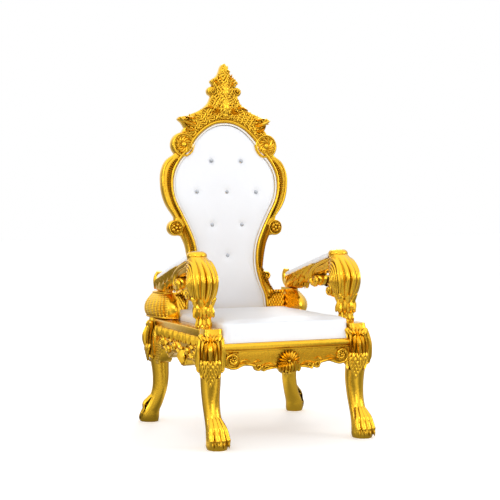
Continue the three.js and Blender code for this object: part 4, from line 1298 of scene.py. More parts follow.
def rail_carving(carving, side):
    """A bold scroll that rolls under the arm, leaves that run back and down from it, and small leaves."""
    carving.bent("rib", beside_arm(SCROLL_LINE, side), [side, 0, 0], 0.0115, 0.0125)
    carving.bent("rib", beside_arm(SCROLL_VEIN, side), [side, 0, 0], 0.0060, 0.0085)
    for points, width in ARM_LEAVES:
        carving.bent("lobed", beside_arm(points, side), [side, 0, 0.15], width, 0.0135)
    for y in np.linspace(-0.100, 0.300, 17):
        z = float(pad_top(y)) - PAD_THICK - 0.010
        points = [(y, z + 0.005), (y + 0.012, z - 0.003), (y + 0.022, z - 0.014)]
        carving.bent("leaflet", beside_arm(points, side, 0.034), [side, 0, 0.2], 0.0052, 0.0080)


def arm_carving():
    """The carving of an arm: both sides of its scroll and rail, the rolls below them, its post and its knob."""
    carving = Carving()
    for side in SIDES:
        carving.outward = np.array([side, 0.0, 0.0])
        hair_ribs(carving, side)
        rail_carving(carving, side)
        for y, z, radius, reach in ((-0.122, 0.614, 0.029, 0.031), (0.004, 0.652, 0.020, 0.033)):
            x = LEG_X + side * reach
            carving.scroll((x, y, z), (0, 1, 0), radius, 0.0062, 0.0075, 1.5, math.pi * 0.4)
            carving.bead((x + side * 0.002, y, z), (0.006, 0.007, 0.007))
    carving.bead((LEG_X, -0.122, 0.614), (0.033, 0.037, 0.033), 14, 24)
    carving.bead((LEG_X, 0.014, 0.656), (0.036, 0.036, 0.031), 14, 24)
    carving.bead((ROLL_X, 0.262, 0.624), (0.034, 0.092, 0.028), 14, 24)
    for turn in np.linspace(-0.9, 0.9, 7):
        x, y = ROLL_X + 0.034 * math.sin(turn), 0.172 - 0.012 * math.cos(turn) + 0.016 * abs(turn)
        spine = [[x, y + 0.006 * share, 0.650 - 0.048 * share] for share in (0, 0.5, 1.0)]
        carving.bent("leaflet", spine, [math.sin(turn), -math.cos(turn), 0], 0.0055, 0.0080)
    for leaves in POST_LEAVES:
        ring_of_leaves(carving, *leaves)
    for lean in (-0.55, 0.55):
        spine = [[LEG_X + math.sin(lean) * across, KNOB_Y + math.cos(lean) * behind, z]
                 for across, behind, z in ((0.030, 0.036, 0.750), (0.040, 0.047, 0.770), (0.042, 0.044, 0.788))]
        carving.bent("leaf", spine, [math.sin(lean), math.cos(lean), 0.1], 0.012, 0.009)
    return carving


def rear_curl():
    """The tongue that rises behind an arm pad and rolls backwards."""
    line = [(0.296, 0.622), (0.336, 0.620), (0.360, 0.636), (0.366, 0.660), (0.356, 0.688)]
    halves = [[0.028, 0.018], [0.029, 0.022], [0.028, 0.020], [0.024, 0.016], [0.012, 0.009]]
    return swept([[CURL_X, y, z] for y, z in line], halves, (1, 0, 0))


class THRONE_OT_arms(bpy.types.Operator):
    """Model an arm, from its post and fluted scroll to the curl behind its pad, and mirror it"""
    bl_idname = "throne.arms"
    bl_label = "Arms"

    def execute(self, context):
        def rail(u, v):
            y = ARM_RAIL[0][0] + v * (ARM_RAIL[-1][0] - ARM_RAIL[0][0])
            z, high, wide = spline(ARM_RAIL, y).T
            across, up = squared(np.cos(2 * math.pi * u), 0.8), squared(np.sin(2 * math.pi * u), 0.8)
            return np.column_stack([arm_x(y) + wide * across, y, z + high * up])

        body = wrapped_grid(40, 80, rail)
        post = turned((LEG_X, POST_Y), ARM_POST)
        knob = turned((LEG_X, KNOB_Y), KNOB)
        carved = arm_carving().mesh("arm_carving")
        arm = join([body, post, volute_body(), knob, rear_curl(), carved], "arm")
        x, y, z = points_of(arm).T
        under_pad = (y > PAD_FRONT_Y - 0.004) & (y < PAD_REAR_Y + 0.001)
        under_pad &= np.abs(x - arm_x(y)) < PAD_HALF_WIDTH + 0.002
        z = np.where(under_pad, np.minimum(z, pad_top(y) - PAD_THICK - 2 * GAP), z)
        over_bracket = (y > BRACKET_FRONT_Y) & (z < BRACKET_TOP + 2 * GAP)
        z = np.where(over_bracket, BRACKET_TOP + 2 * GAP, z)
        beside_back = (y > 0.288) & (x < 0.312)
        x = np.where(beside_back, JOINT_X + 4 * GAP + (x - 0.270) * 0.36, x)
        move_points(arm, np.column_stack([x, np.minimum(y, 0.384), z]))
        finish_pair(arm, "arm", gold_leaf())
        return {"FINISHED"}


BRACKET = [
    # height, reach outwards, reach forwards
    (0.4806, 0.083, 0.193), (0.500, 0.097, 0.203), (0.528, 0.102, 0.204), (0.555, 0.093, 0.190),
    (0.580, 0.072, 0.158), (0.5999, 0.050, 0.122),
]
BRACKET_RIBS = 10
BRACKET_CORNER = (0.2963, 0.3637)
BEAD_PITCH = 0.0075


class THRONE_OT_arm_brackets(bpy.types.Operator):
    """Model the ribbed shell that carries the back of an arm, and mirror it"""
    bl_idname = "throne.arm_brackets"
    bl_label = "Arm brackets"

    def execute(self, context):
        low, high = BRACKET[0][0], BRACKET[-1][0]
        corner_x, corner_y = BRACKET_CORNER

        def place(u, v):
            z = low + v * (high - low)
            wide, long = spline(BRACKET, z).T
            share = np.clip(u / 0.84, 0, 1)
            turn = share * math.pi / 2
            carved = smooth_step(share, 0.26, 0.38)
            ribs = np.abs(np.sin(BRACKET_RIBS * math.pi * share)) ** 0.6
            beads = 0.5 + 0.5 * np.cos(2 * math.pi * (z - low) / BEAD_PITCH)
            ends = smooth_step(v, 0.0, 0.08) * (1 - smooth_step(v, 0.92, 1.0))
            reach = 1 - carved * ends * (0.055 * (1 - ribs) + 0.026 * beads * ribs)
            back = np.clip((u - 0.84) / 0.08, 0, 1)
            inner = np.clip((u - 0.92) / 0.08, 0, 1)
            x = np.where(u > 0.84, corner_x + wide * (1 - back), corner_x + wide * reach * np.sin(turn))
            y = np.where(u > 0.84, corner_y - long * inner, corner_y - long * reach * np.cos(turn))
            return np.column_stack([x, y, z])

        shell = wrapped_grid(180, 84, place)
        carving = Carving()
        for z, lift in ((0.4866, 0.004), (0.5940, 0.003)):
            wide, long = spline(BRACKET, np.array([z]))[0] + lift
            ways = [(math.sin(turn), math.cos(turn)) for turn in np.linspace(0.04, math.pi / 2 - 0.01, 14)]
            spine = [[corner_x + wide * aside, corner_y - long * ahead, z] for aside, ahead in ways]
            carving.bent("rib", spine, [[aside, -ahead, 0] for aside, ahead in ways], 0.0055, 0.006, 0.003)
        piece = join([shell, carving.mesh("bracket_carving")], "arm_bracket")
        x, y, z = points_of(piece).T
        move_points(piece, np.column_stack([np.maximum(x, corner_x), np.minimum(y, corner_y), z]))
        finish_pair(piece, "arm_bracket", gold_leaf())
        return {"FINISHED"}


# ---- Rails ----
def lower_edge(runs):
    """One line through several smooth runs that meet at points."""
    line = []
    for run in runs:
        piece = curve_through(run, 8) if len(run) > 2 else np.asarray(run, float)
        line.extend(piece.tolist()[1 if line else 0:])
    return np.asarray(line)


FRONT_EDGE = [
    # runs of x and height
    [(0.000, 0.283), (0.026, 0.288), (0.044, 0.309)],
    [(0.044, 0.309), (0.078, 0.308), (0.112, 0.300)],
    [(0.112, 0.300), (0.119, 0.317)],
    [(0.119, 0.317), (0.129, 0.304), (0.144, 0.305), (0.152, 0.321)],
    [(0.152, 0.321), (0.192, 0.329), (0.244, 0.314), (0.2945, 0.328)],
]
SIDE_EDGE = [
    # runs of y and height
    [(-0.2645, 0.340), (-0.240, 0.326), (-0.205, 0.325), (-0.165, 0.340), (-0.130, 0.344)],
    [(-0.130, 0.344), (-0.104, 0.336), (-0.086, 0.312), (-0.062, 0.304), (-0.044, 0.318), (-0.030, 0.340)],
    [(-0.030, 0.340), (0.000, 0.349), (0.044, 0.345), (0.078, 0.331)],
    [(0.078, 0.331), (0.100, 0.320), (0.122, 0.323), (0.152, 0.345)],
    [(0.152, 0.345), (0.180, 0.352), (0.206, 0.348)],
    [(0.206, 0.348), (0.230, 0.304), (0.254, 0.280), (0.2895, 0.286)],
]
FRONT_RAIL_TOP = 0.422
FRONT_RAIL_REAR_Y = -0.3113
FRONT_FACE_Y = -0.338
SIDE_FACE_X = 0.365
SIDE_REAR_X = 0.3033
SIDE_PLATE_TOP = 0.4550
VOLUTE_EYE = (0.252, 0.353)
FRONT_SCROLLS = [
    # x, step forwards, height, radius, half width, relief, turns, start in half turns, hand
    (0.252, 0.0, 0.353, 0.037, 0.0065, 0.0120, 1.55, -0.6, 1),
    (0.252, 0.0, 0.353, 0.026, 0.0046, 0.0090, 1.2, -0.2, 1),
    (0.136, 0.0, 0.322, 0.0155, 0.0046, 0.0100, 1.35, 0.2, -1),
    (0.098, 0.0, 0.314, 0.0120, 0.0042, 0.0090, 1.2, -0.3, 1),
    (0.034, 0.006, 0.316, 0.0135, 0.0044, 0.0100, 1.3, 0.1, 1),
]
SPRAY_LEAVES = [
    # kind, spine in x and height, half width, height
    ("lobed", [(0.236, 0.322), (0.206, 0.336), (0.166, 0.328)], 0.0105, 0.0110),
    ("leaf", [(0.222, 0.340), (0.196, 0.352), (0.168, 0.344)], 0.0080, 0.0080),
    ("leaf", [(0.160, 0.336), (0.140, 0.348), (0.118, 0.340)], 0.0070, 0.0080),
    ("lobed", [(0.122, 0.324), (0.086, 0.330), (0.048, 0.316)], 0.0100, 0.0105),
    ("leaf", [(0.284, 0.330), (0.288, 0.356), (0.276, 0.384)], 0.0080, 0.0090),
    ("leaf", [(0.268, 0.384), (0.246, 0.392), (0.220, 0.378)], 0.0075, 0.0085),
]
DROP_LEAVES = [
    # x and height of the tips of the leaves that hang from the shell
    (0.0, 0.282), (-0.013, 0.285), (0.013, 0.285), (-0.027, 0.294), (0.027, 0.294), (-0.038, 0.308),
    (0.038, 0.308),
]
SIDE_SCROLLS = [
    # y, height, radius, hand
    (-0.205, 0.368, 0.030, 1), (-0.118, 0.376, 0.022, -1), (0.050, 0.376, 0.024, 1), (0.116, 0.360, 0.026, -1),
    (0.196, 0.384, 0.030, 1),
]
SIDE_LINKS = [
    # spines in y and height of the leaves between the scrolls
    [(-0.180, 0.388), (-0.160, 0.398), (-0.140, 0.388)], [(-0.172, 0.350), (-0.148, 0.362), (-0.124, 0.352)],
    [(-0.022, 0.356), (0.004, 0.366), (0.030, 0.356)], [(0.076, 0.394), (0.096, 0.400), (0.124, 0.392)],
    [(0.148, 0.356), (0.172, 0.362), (0.196, 0.352)], [(-0.236, 0.398), (-0.222, 0.404), (-0.196, 0.400)],
    [(0.012, 0.400), (-0.012, 0.392), (-0.030, 0.374)], [(0.150, 0.392), (0.142, 0.376), (0.146, 0.358)],
]


def mirrored_leaf(carving, kind, points, y, width, height):
    """An ornament on the front rail and its mirror image, along points of x and height."""
    for side in SIDES:
        spine = [[side * x, y, z] for x, z in curve_through(points, 8)]
        carving.bent(kind, spine, [0, -1, 0.15], width, height)


def shell_carving(carving, y):
    """The shell and the drop of leaves at the middle of the front rail."""
    for lean in np.radians([-95, -74, -54, -36, -18, 0, 18, 36, 54, 74, 95]):
        far = 0.048 + 0.006 * abs(math.sin(lean))
        points = [[math.sin(lean) * share * far, y - 0.006 - 0.010 * math.sin(math.pi * share),
                   0.338 + math.cos(lean) * share * far] for share in (0.12, 0.45, 0.8, 1.0)]
        carving.bent("lobed", points, [math.sin(lean) * 0.3, -1, 0.2], 0.0086, 0.0115)
    for x, low in DROP_LEAVES:
        path = [(0.5, 0.010, 0.338), (1.15, 0.018, 0.318), (1.1, 0.014, 0.302), (1, 0.004, low)]
        points = [[x * share, y - forward, z] for share, forward, z in path]
        carving.bent("lobed" if x == 0 else "leaf", points, [x * 12, -1, -0.1], 0.0090, 0.0110)
    carving.bead((0, y - 0.013, 0.340), (0.0085, 0.010, 0.0085), 9, 14)
    carving.bead((0, y - 0.002, 0.326), (0.036, 0.014, 0.036), 12, 22)


def front_rail_carving(edge):
    """Fine upright ribs, a rim and scrolls at the lower edge, sprays of leaves, and a shell in the middle."""
    carving = Carving()
    y = FRONT_FACE_Y + 0.001
    eye_x, eye_z = VOLUTE_EYE
    for x in np.arange(-0.288, 0.289, 0.0064):
        rib = [[x, y, 0.3895], [x, y, 0.3585], [x, y, 0.3300 + 0.004 * math.cos(x * 20)]]
        carving.bent("rib", rib, OUT, 0.0026, 0.0030)
    for side in SIDES:
        rim = edge * [side, 1]
        for start in range(0, len(rim) - 4, 4):
            spine = [[px, y - 0.001, pz + 0.0055] for px, pz in rim[start:start + 6]]
            carving.bent("rib", spine, [0, -1, -0.4], 0.0056, 0.0068)
        for x, forward, z, radius, width, height, turns, start, hand in FRONT_SCROLLS:
            centre = (side * x, y - forward, z)
            carving.scroll(centre, (side, 0, 0), radius, width, height, turns, math.pi * start, hand)
        for angle in np.linspace(0, 2 * math.pi, 7, endpoint=False):
            spot = (side * eye_x + 0.011 * math.cos(angle), y - 0.005, eye_z + 0.011 * math.sin(angle))
            carving.bead(spot, (0.0046, 0.0060, 0.0046), 6, 8)
        carving.bead((side * eye_x, y - 0.006, eye_z), (0.0065, 0.008, 0.0065))
    for kind, points, width, height in SPRAY_LEAVES:
        mirrored_leaf(carving, kind, points, y, width, height)
    for start, reach in ((0.4, 0.030), (1.1, 0.032), (1.8, 0.032), (2.5, 0.030), (3.2, 0.028), (3.9, 0.026)):
        near = np.array([eye_x + 0.017 * math.cos(start), eye_z + 0.017 * math.sin(start)])
        tip = np.array([eye_x + reach * math.cos(start + 0.5), eye_z + reach * math.sin(start + 0.5)])
        bend = (near + tip) / 2 + [0, 0.001]
        mirrored_leaf(carving, "lobed", [near, bend, tip], y - 0.004, 0.0066, 0.0090)
    shell_carving(carving, y)
    return carving


class THRONE_OT_front_rail(bpy.types.Operator):
    """Model the front seat rail, with its shaped and carved apron"""
    bl_idname = "throne.front_rail"
    bl_label = "Front rail"

    def execute(self, context):
        edge = lower_edge(FRONT_EDGE)
        end = JOINT_X - GAP
        top = [[end, FRONT_RAIL_TOP], [-end, FRONT_RAIL_TOP]]
        mirrored = (edge * [-1, 1])[::-1][:-1]
        outline = [*edge.tolist(), *top, *mirrored.tolist()]
        plate = flat_plate("front_rail", [outline], FRONT_FACE_Y, FRONT_RAIL_REAR_Y, 0.003)
        plank = rounded_block((-end, -0.3440, 0.3925), (end, FRONT_RAIL_REAR_Y, 0.4218), 0.004)
        roll = straight_bar((-end, -0.3420, 0.4070), (end, -0.3420, 0.4070), 0.0115, 0.0095, 24)
        bead = straight_bar((-end, -0.3400, 0.3905), (end, -0.3400, 0.3905), 0.0030, 0.0045, 12)
        piece = join([plate, plank, roll, bead, front_rail_carving(edge).mesh("front_carving")], "front_rail")
        x, y, z = points_of(piece).T
        move_points(piece, np.column_stack([np.clip(x, -end, end), y, z]))
        finish_piece(piece, "front_rail_carved", gold_leaf(), "front_rail")
        return {"FINISHED"}


def side_rail_carving(edge):
    """Upright leaves under the rail's top, scrolls and leaves below them, and the two drops."""
    carving = Carving(outward=(1, 0, 0))
    face = SIDE_FACE_X - 0.001
    drop_y = -0.062

    def leaf(kind, points, width, height, lift=0.0):
        shares = np.linspace(0.1, 0.9, 8)
        line = curve_through(points, 8)
        spine = [[face + lift * math.sin(math.pi * t), *point] for t, point in zip(shares, line)]
        carving.bent(kind, spine, (1, 0, 0.1), width, height)

    for i, y in enumerate(np.arange(-0.246, 0.276, 0.0205)):
        tilt = 0.008 * math.sin(i * 1.9)
        upright = [(y, 0.447), (y + tilt, 0.428), (y + tilt * 1.5 + 0.004, 0.402)]
        leaf("lobed" if i % 2 else "leaf", upright, 0.0108, 0.0105, lift=0.003)
        between = y + 0.0102
        leaf("rib", [(between, 0.446), (between, 0.428), (between + tilt, 0.414)], 0.0032, 0.0060)
    for y, z, radius, hand in SIDE_SCROLLS:
        carving.scroll((face, y, z), (0, 1, 0), radius, 0.0060, 0.0120, 1.5, math.pi * 0.5, hand)
        for angle in np.linspace(0, 2 * math.pi, 6, endpoint=False):
            spot = (face + 0.004, y + 0.010 * math.cos(angle), z + 0.010 * math.sin(angle))
            carving.bead(spot, (0.006, 0.0044, 0.0044), 6, 8)
        carving.bead((face + 0.005, y, z), (0.008, 0.006, 0.006))
    for points in SIDE_LINKS:
        leaf("lobed", points, 0.0100, 0.0110)
    for spread in (-0.9, -0.45, 0, 0.45, 0.9):
        y = drop_y + 0.030 * spread
        line = [(drop_y + 0.014 * spread, 0.372), (y, 0.342), (y, 0.306 + 0.016 * abs(spread))]
        leaf("lobed" if spread == 0 else "leaf", line, 0.0100, 0.0120, lift=0.008)
    carving.bead((face + 0.006, drop_y, 0.378), (0.009, 0.009, 0.009), 9, 14)
    for row in range(9):
        z = 0.372 - 0.0108 * row
        reach = 0.040 * (1 - 0.5 * row / 8)
        count = 5 - row // 3
        for i in range(count):
            y = 0.252 + reach * (2 * (i + 0.5 + (row % 2) * 0.3) / count - 1) + 0.006 * row / 8
            if y < 0.286:
                leaf("scale", [(y, z + 0.009), (y, z), (y, z - 0.010)], 0.0088, 0.0085)
    for start in range(0, len(edge) - 4, 4):
        spine = [[face - 0.002, py, pz + 0.005] for py, pz in edge[start:start + 6]]
        carving.bent("rib", spine, [1, 0, -0.4], 0.0052, 0.0066)
    return carving


class THRONE_OT_side_rails(bpy.types.Operator):
    """Model a side seat rail, with its shaped and carved apron, and mirror it"""
    bl_idname = "throne.side_rails"
    bl_label = "Side rails"

    def execute(self, context):
        edge = lower_edge(SIDE_EDGE)
        front, rear = edge[0][0], edge[-1][0]
        outline = [*edge.tolist(), [rear, SIDE_PLATE_TOP], [front, SIDE_PLATE_TOP]]
        plate = flat_plate("side_rail", [outline], -SIDE_FACE_X, -SIDE_REAR_X, 0.004)
        x, y, z = points_of(plate).T
        move_points(plate, np.column_stack([-y, x, z]))
        top = rounded_block((0.2953, front, 0.4462), (0.3698, rear, 0.4790), 0.004)
        bead = straight_bar((0.3670, front, 0.4440), (0.3670, rear, 0.4440), 0.0032, 0.0045, 12)
        piece = join([plate, top, bead, side_rail_carving(edge).mesh("side_carving")], "side_rail")
        x, y, z = points_of(piece).T
        move_points(piece, np.column_stack([x, np.clip(y, front, rear), z]))
        finish_pair(piece, "side_rail", gold_leaf())
        return {"FINISHED"}


# ---- Stuffed upholstery ----
CUSHION_HALF_WIDTH = 0.2932
CUSHION_FRONT_Y = -0.334
CUSHION_REAR_Y = 0.3015
CUSHION_LOW = 0.4026
CUSHION_TOP = 0.5235
RAIL_REAR_Y = -0.3105
FILL_FRAMES = 20
COVER_CLOTH = {
    "quality": 4,
    "mass": 0.3,
    "tension_stiffness": 18,
    "compression_stiffness": 18,
    "bending_stiffness": 2.5,
    "use_pressure": True,
    "vertex_group_mass": "pinned",
}


def stuffed(obj, voxel, pressure, cap, pinned_below):
    """Swells a closed form like a filled cover: remeshed, pinned low down and blown up as cloth. No point
    moves further than cap."""
    apply_modifier(obj, "REMESH", mode="VOXEL", voxel_size=voxel, adaptivity=0.0)
    start = points_of(obj)
    low = np.nonzero(start[:, 2] < pinned_below)[0]
    obj.vertex_groups.new(name="pinned").add(low.tolist(), 1.0, "REPLACE")
    cloth = obj.modifiers.new("Cloth", "CLOTH")
    for key, value in COVER_CLOTH.items():
        setattr(cloth.settings, key, value)
    cloth.settings.uniform_pressure_force = pressure
    cloth.settings.effector_weights.gravity = 0
    cloth.collision_settings.use_collision = False
    cloth.point_cache.frame_start = 1
    cloth.point_cache.frame_end = FILL_FRAMES
    scene = bpy.context.scene
    for number in range(1, FILL_FRAMES + 1):
        scene.frame_set(number)
    swollen = obj.evaluated_get(bpy.context.evaluated_depsgraph_get())
    moved = np.array([vertex.co for vertex in swollen.data.vertices]) - start
    obj.modifiers.clear()
    scene.frame_set(1)
    far = np.linalg.norm(moved, axis=1)[:, None]
    move_points(obj, start + moved * np.minimum(1, cap / np.maximum(far, 1e-9)))
    obj.vertex_groups.clear()


def stretched(obj, low, high):
    """Stretches a form so that it fills a box."""
    points = points_of(obj)
    low, high = np.asarray(low), np.asarray(high)
    least = points.min(0)
    move_points(obj, low + (points - least) * (high - low) / (points.max(0) - least))


def slab(half_width, front, rear, low, edge, crown, power, shrink=0.0):
    """A box cushion before it is filled: rounded corners, an upright border and a crowned top."""
    block = new_mesh("cube", size=2)
    with editing(block):
        bpy.ops.mesh.subdivide(number_cuts=30)
    u, v, w = points_of(block).T
    size = np.maximum(np.abs(u), np.abs(v))
    length = (np.abs(u) ** power + np.abs(v) ** power) ** (1 / power)
    scale = np.where(length > 0, size / np.maximum(length, 1e-9), 1)
    x = u * scale * (half_width - shrink)
    y = (front + rear) / 2 + v * scale * ((rear - front) / 2 - shrink)
    swell_u, swell_v = (np.cos(np.clip(part, -1, 1) * math.pi / 2) ** 0.6 for part in (u, v))
    top = edge - shrink + crown * swell_u * swell_v
    move_points(block, np.column_stack([x, y, low + (top - low) * (w + 1) / 2]))
    return block


def round_edges(obj, width, segments):
    limit = math.radians(40)
    apply_modifier(obj, "BEVEL", width=width, segments=segments, limit_method="ANGLE", angle_limit=limit)


class THRONE_OT_seat_cushion(bpy.types.Operator):
    """Model the seat cushion as a filled leather cover"""
    bl_idname = "throne.seat_cushion"
    bl_label = "Seat cushion"

    def execute(self, context):
        spare = 0.006
        front, rear = CUSHION_FRONT_Y - spare, CUSHION_REAR_Y + spare
        cushion = slab(CUSHION_HALF_WIDTH + spare, front, rear, CUSHION_LOW, 0.512, 0.010, 24)
        round_edges(cushion, 0.018, 4)
        stuffed(cushion, 0.0075, context.scene.throne_sizes.cushion_pressure, 0.009, 0.414)
        x, y, z = points_of(cushion).T
        x = np.clip(x, -CUSHION_HALF_WIDTH, CUSHION_HALF_WIDTH)
        y = np.clip(y, CUSHION_FRONT_Y, CUSHION_REAR_Y)
        z = CUSHION_LOW + (z - z.min()) * (CUSHION_TOP + 0.0005 - CUSHION_LOW) / (z.max() - z.min())
        lowest = np.where(y < RAIL_REAR_Y, FRONT_RAIL_TOP + 0.0008, CUSHION_LOW)
        move_points(cushion, np.column_stack([x, y, np.clip(z, lowest, CUSHION_TOP)]))
        apply_modifier(cushion, "SMOOTH", factor=0.5, iterations=3)
        finish_piece(cushion, "seat_cushion_filled", white_leather(), "seat_cushion", angle=80)
        return {"FINISHED"}


class THRONE_OT_arm_pads(bpy.types.Operator):
    """Model an arm pad as a filled leather cover on its sloping arm, and mirror it"""
    bl_idname = "throne.arm_pads"
    bl_label = "Arm pads"

    def execute(self, context):
        pad = slab(PAD_HALF_WIDTH, PAD_FRONT_Y, PAD_REAR_Y, 0.0, PAD_THICK - 0.003, 0.004, 14, 0.0015)
        round_edges(pad, 0.005, 3)
        stuffed(pad, 0.004, context.scene.throne_sizes.cushion_pressure, 0.004, 0.006)
        stretched(pad, (-PAD_HALF_WIDTH, PAD_FRONT_Y, 0), (PAD_HALF_WIDTH, PAD_REAR_Y, PAD_THICK + 0.003))
        x, y, z = points_of(pad).T
        move_points(pad, np.column_stack([x + arm_x(y), y, pad_top(y) - PAD_THICK + z]))
        apply_modifier(pad, "SMOOTH", factor=0.5, iterations=2)
        for piece in finish_pair(pad, "arm_pad", white_leather(), 80):
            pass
        return {"FINISHED"}


# ---- Stage ----
WHITE = (1, 1, 1, 1)
CARD_STOPS = [
    # share of the way round, lightness
    (0.00, 0.55), (0.06, 1.00), (0.13, 0.36), (0.20, 0.30), (0.28, 1.00), (0.36, 0.30), (0.50, 0.55),
    (0.62, 0.35), (0.76, 0.85), (0.88, 0.22), (1.00, 0.55),
]
LIGHTS = (
    # name, place, size, power, height aimed at
    ("key_light", (-2.8, -3.0, 3.4), 1.4, 28, 0.8),
    ("front_light", (-1.4, -5.6, 1.9), 2.4, 34, 0.7),
    ("fill_light", (3.4, -2.4, 2.0), 1.4, 26, 0.7),
    ("rim_light", (1.6, 3.2, 3.0), 1.5, 40, 0.9),
    ("side_light", (-3.6, 0.6, 1.4), 0.8, 8, 0.6),
)


@made_once("node_groups", "studio cards")
def studio_cards(name):
    """White and grey cards round the studio, as gilding mirrors them: soft upright bands, lighter above."""
    group, start, end = node_group(
        name, [("Direction", "NodeSocketVector", (0, 0, 0))], [("Light", "NodeSocketColor")])
    nodes, links = group.nodes, group.links
    level = nodes.new("ShaderNodeVectorMath")
    level.operation = "NORMALIZE"
    compass = nodes.new("ShaderNodeTexGradient")
    compass.gradient_type = "RADIAL"
    bands = nodes.new("ShaderNodeValToRGB")
    bands.color_ramp.interpolation = "EASE"
    ramp = bands.color_ramp.elements
    ramp[0].position, ramp[1].position = CARD_STOPS[0][0], CARD_STOPS[-1][0]
    for position, _ in CARD_STOPS[1:-1]:
        ramp.new(position)
    for element, (_, value) in zip(ramp, CARD_STOPS):
        element.color = (value, value, value * 0.97, 1)
    split = nodes.new("ShaderNodeSeparateXYZ")
    rise = nodes.new("ShaderNodeValToRGB")
    for element, position, value in zip(rise.color_ramp.elements, (0.05, 0.85), (0.0, 1.0)):
        element.position = position
        element.color = (value, value, value, 1)
    mix = nodes.new("ShaderNodeMix")
    mix.data_type = "RGBA"
    mix.inputs[HIGH_COLOUR].default_value = (1.05, 1.05, 1.05, 1)
    links.new(start.outputs["Direction"], level.inputs[0])
    links.new(level.outputs["Vector"], compass.inputs["Vector"])
    links.new(compass.outputs["Color"], bands.inputs["Fac"])
    links.new(level.outputs["Vector"], split.inputs["Vector"])
    links.new(split.outputs["Z"], rise.inputs["Fac"])
    links.new(rise.outputs["Color"], mix.inputs["Factor"])
    links.new(bands.outputs["Color"], mix.inputs[LOW_COLOUR])
    links.new(mix.outputs[MIXED_COLOUR], end.inputs["Light"])
    return group


def studio_floor(colour):
    """A pale paper floor, which gilding mirrors as the cards."""
    floor = new_mesh("plane", size=60)
    floor.name = "studio_floor"
    paper, shader = plain_material("studio paper", colour, Roughness=0.9)
    shader.inputs["Specular IOR Level"].default_value = 0.1
    shader.inputs["Emission Color"].default_value = WHITE
    shader.inputs["Emission Strength"].default_value = 0.22
    nodes, links = paper.node_tree.nodes, paper.node_tree.links
    place = nodes.new("ShaderNodeTexCoord")
    cards = placed_group(paper, studio_cards())
    mirrored = nodes.new("ShaderNodeEmission")
    mirrored.inputs["Strength"].default_value = 1.05
    path = nodes.new("ShaderNodeLightPath")
    mix = nodes.new("ShaderNodeMixShader")
    links.new(place.outputs["Object"], cards.inputs["Direction"])
    links.new(cards.outputs["Light"], mirrored.inputs["Color"])
    links.new(path.outputs["Is Glossy Ray"], mix.inputs["Fac"])
    links.new(shader.outputs["BSDF"], mix.inputs[1])
    links.new(mirrored.outputs["Emission"], mix.inputs[2])
    links.new(mix.outputs["Shader"], nodes["Material Output"].inputs["Surface"])
    floor.data.materials.append(paper)


def studio_lights():
    for name, place, size, power, aim in LIGHTS:
        light = bpy.data.lights.new(name, "AREA")
        light.size = size
        light.energy = power
        lamp = bpy.data.objects.new(name, light)
        lamp.location = place
        lamp.rotation_euler = (Vector((0, 0, aim)) - Vector(place)).to_track_quat("-Z", "Y").to_euler()
        bpy.context.scene.collection.objects.link(lamp)


def studio_world():
    """White behind the throne, soft light from all round, and the cards for gilding to mirror."""
    world = bpy.data.worlds.new("studio")
    bpy.context.scene.world = world
    world.use_nodes = True
    nodes, links = world.node_tree.nodes, world.node_tree.links
    nodes.clear()
    white, soft, mirrored = (nodes.new("ShaderNodeBackground") for _ in range(3))
    white.inputs["Color"].default_value = WHITE
    soft.inputs["Color"].default_value = (0.98, 0.99, 1, 1)
    soft.inputs["Strength"].default_value = 0.82
    mirrored.inputs["Strength"].default_value = 1.45
    place = nodes.new("ShaderNodeTexCoord")
    cards = nodes.new("ShaderNodeGroup")
    cards.node_tree = studio_cards()
    path = nodes.new("ShaderNodeLightPath")
    lit = nodes.new("ShaderNodeMixShader")
    seen = nodes.new("ShaderNodeMixShader")
    end = nodes.new("ShaderNodeOutputWorld")
    links.new(place.outputs["Generated"], cards.inputs["Direction"])
    links.new(cards.outputs["Light"], mirrored.inputs["Color"])
    links.new(path.outputs["Is Glossy Ray"], lit.inputs["Fac"])
    links.new(soft.outputs["Background"], lit.inputs[1])
    links.new(mirrored.outputs["Background"], lit.inputs[2])
    links.new(path.outputs["Is Camera Ray"], seen.inputs["Fac"])
    links.new(lit.outputs["Shader"], seen.inputs[1])
    links.new(white.outputs["Background"], seen.inputs[2])
    links.new(seen.outputs["Shader"], end.inputs["Surface"])


def studio_camera():
    lens = bpy.data.cameras.new("camera")
    lens.sensor_width = 36
    lens.lens = 87.55
    lens.clip_end = 100
    eye = bpy.data.objects.new("camera", lens)
    eye.location = (-2.184, -4.911, 0.985)
    eye.rotation_euler = (math.radians(87.95), 0, math.radians(-23.71))
    bpy.context.scene.collection.objects.link(eye)
    bpy.context.scene.camera = eye


class THRONE_OT_stage(bpy.types.Operator):
    """Set the floor, the studio lights and the camera"""
    bl_idname = "throne.stage"
    bl_label = "Stage"

    def execute(self, context):
        studio_floor(context.scene.throne_colours.floor)
        studio_lights()
        studio_world()
        studio_camera()
        context.scene.view_settings.view_transform = "Standard"
        return {"FINISHED"}


# ---- Properties, panel and registration ----
def length(name, description, default):
    return bpy.props.FloatProperty(name=name, description=description, default=default, min=0.0, unit="LENGTH",
                                   subtype="DISTANCE", precision=4)


def colour(name, description, default):
    return bpy.props.FloatVectorProperty(name=name, description=description, default=default, size=3, min=0.0,
                                         max=1.0, subtype="COLOR")


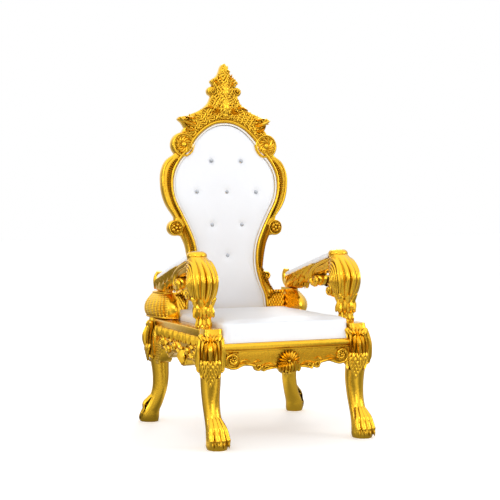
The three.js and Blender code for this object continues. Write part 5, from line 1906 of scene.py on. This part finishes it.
class ThroneSizes(bpy.types.PropertyGroup):
    panel_crown: length("Panel crown", "How far the back panel's middle stands in front of its edge", 0.026)
    dimple_depth: length("Dimple depth", "How deep each button pulls the panel in", 0.009)
    piping_radius: length("Piping radius", "Radius of the cord round the back panel", 0.0042)
    button_radius: length("Button radius", "Radius of each crystal button", 0.0100)
    cushion_pressure: bpy.props.FloatProperty(
        name="Cushion pressure", description="How hard the covers are filled", default=4.0)


class ThroneColours(bpy.types.PropertyGroup):
    gold: colour("Gold", "The gilding where it is clean", (0.90, 0.52, 0.036))
    # The brown that the cuts of the carving are darkened to by the occlusion mask: partly glaze, partly painted
    # shade.
    glaze_and_shade: colour("Glaze", "The brown glaze in the cuts of the carving", (0.30, 0.150, 0.006))
    leather: colour("Leather", "The upholstery", (0.85, 0.855, 0.880))
    piping: colour("Piping", "The cord round the back panel", (0.88, 0.83, 0.74))
    crystal: colour("Crystal", "The crystal buttons", (0.62, 0.65, 0.70))
    floor: colour("Floor", "The studio floor", (0.97, 0.97, 0.97))


class THRONE_PT_pieces(bpy.types.Panel):
    """The throne's sizes, colours and pieces"""
    bl_label = "Throne"
    bl_space_type = "VIEW_3D"
    bl_region_type = "UI"
    bl_category = "Throne"

    def draw(self, context):
        layout = self.layout
        for group in (context.scene.throne_sizes, context.scene.throne_colours):
            for key in group.bl_rna.properties.keys():
                if key not in {"rna_type", "name"}:
                    layout.prop(group, key)
        for operator in OPERATORS:
            layout.operator(operator.bl_idname)


OPERATORS = (
    THRONE_OT_stage,
    THRONE_OT_bare_boards,
    THRONE_OT_back_frame,
    THRONE_OT_back_panel,
    THRONE_OT_crystal_buttons,
    THRONE_OT_legs,
    THRONE_OT_arms,
    THRONE_OT_arm_brackets,
    THRONE_OT_front_rail,
    THRONE_OT_side_rails,
    THRONE_OT_seat_cushion,
    THRONE_OT_arm_pads,
)
CLASSES = (ThroneSizes, ThroneColours, *OPERATORS, THRONE_PT_pieces)


def register():
    for cls in CLASSES:
        bpy.utils.register_class(cls)
    bpy.types.Scene.throne_sizes = bpy.props.PointerProperty(type=ThroneSizes)
    bpy.types.Scene.throne_colours = bpy.props.PointerProperty(type=ThroneColours)


def unregister():
    del bpy.types.Scene.throne_colours
    del bpy.types.Scene.throne_sizes
    for cls in reversed(CLASSES):
        bpy.utils.unregister_class(cls)


def main():
    register()
    for operator in OPERATORS:
        group, name = operator.bl_idname.split(".")
        getattr(getattr(bpy.ops, group), name)()


if __name__ == "__main__":
    main()
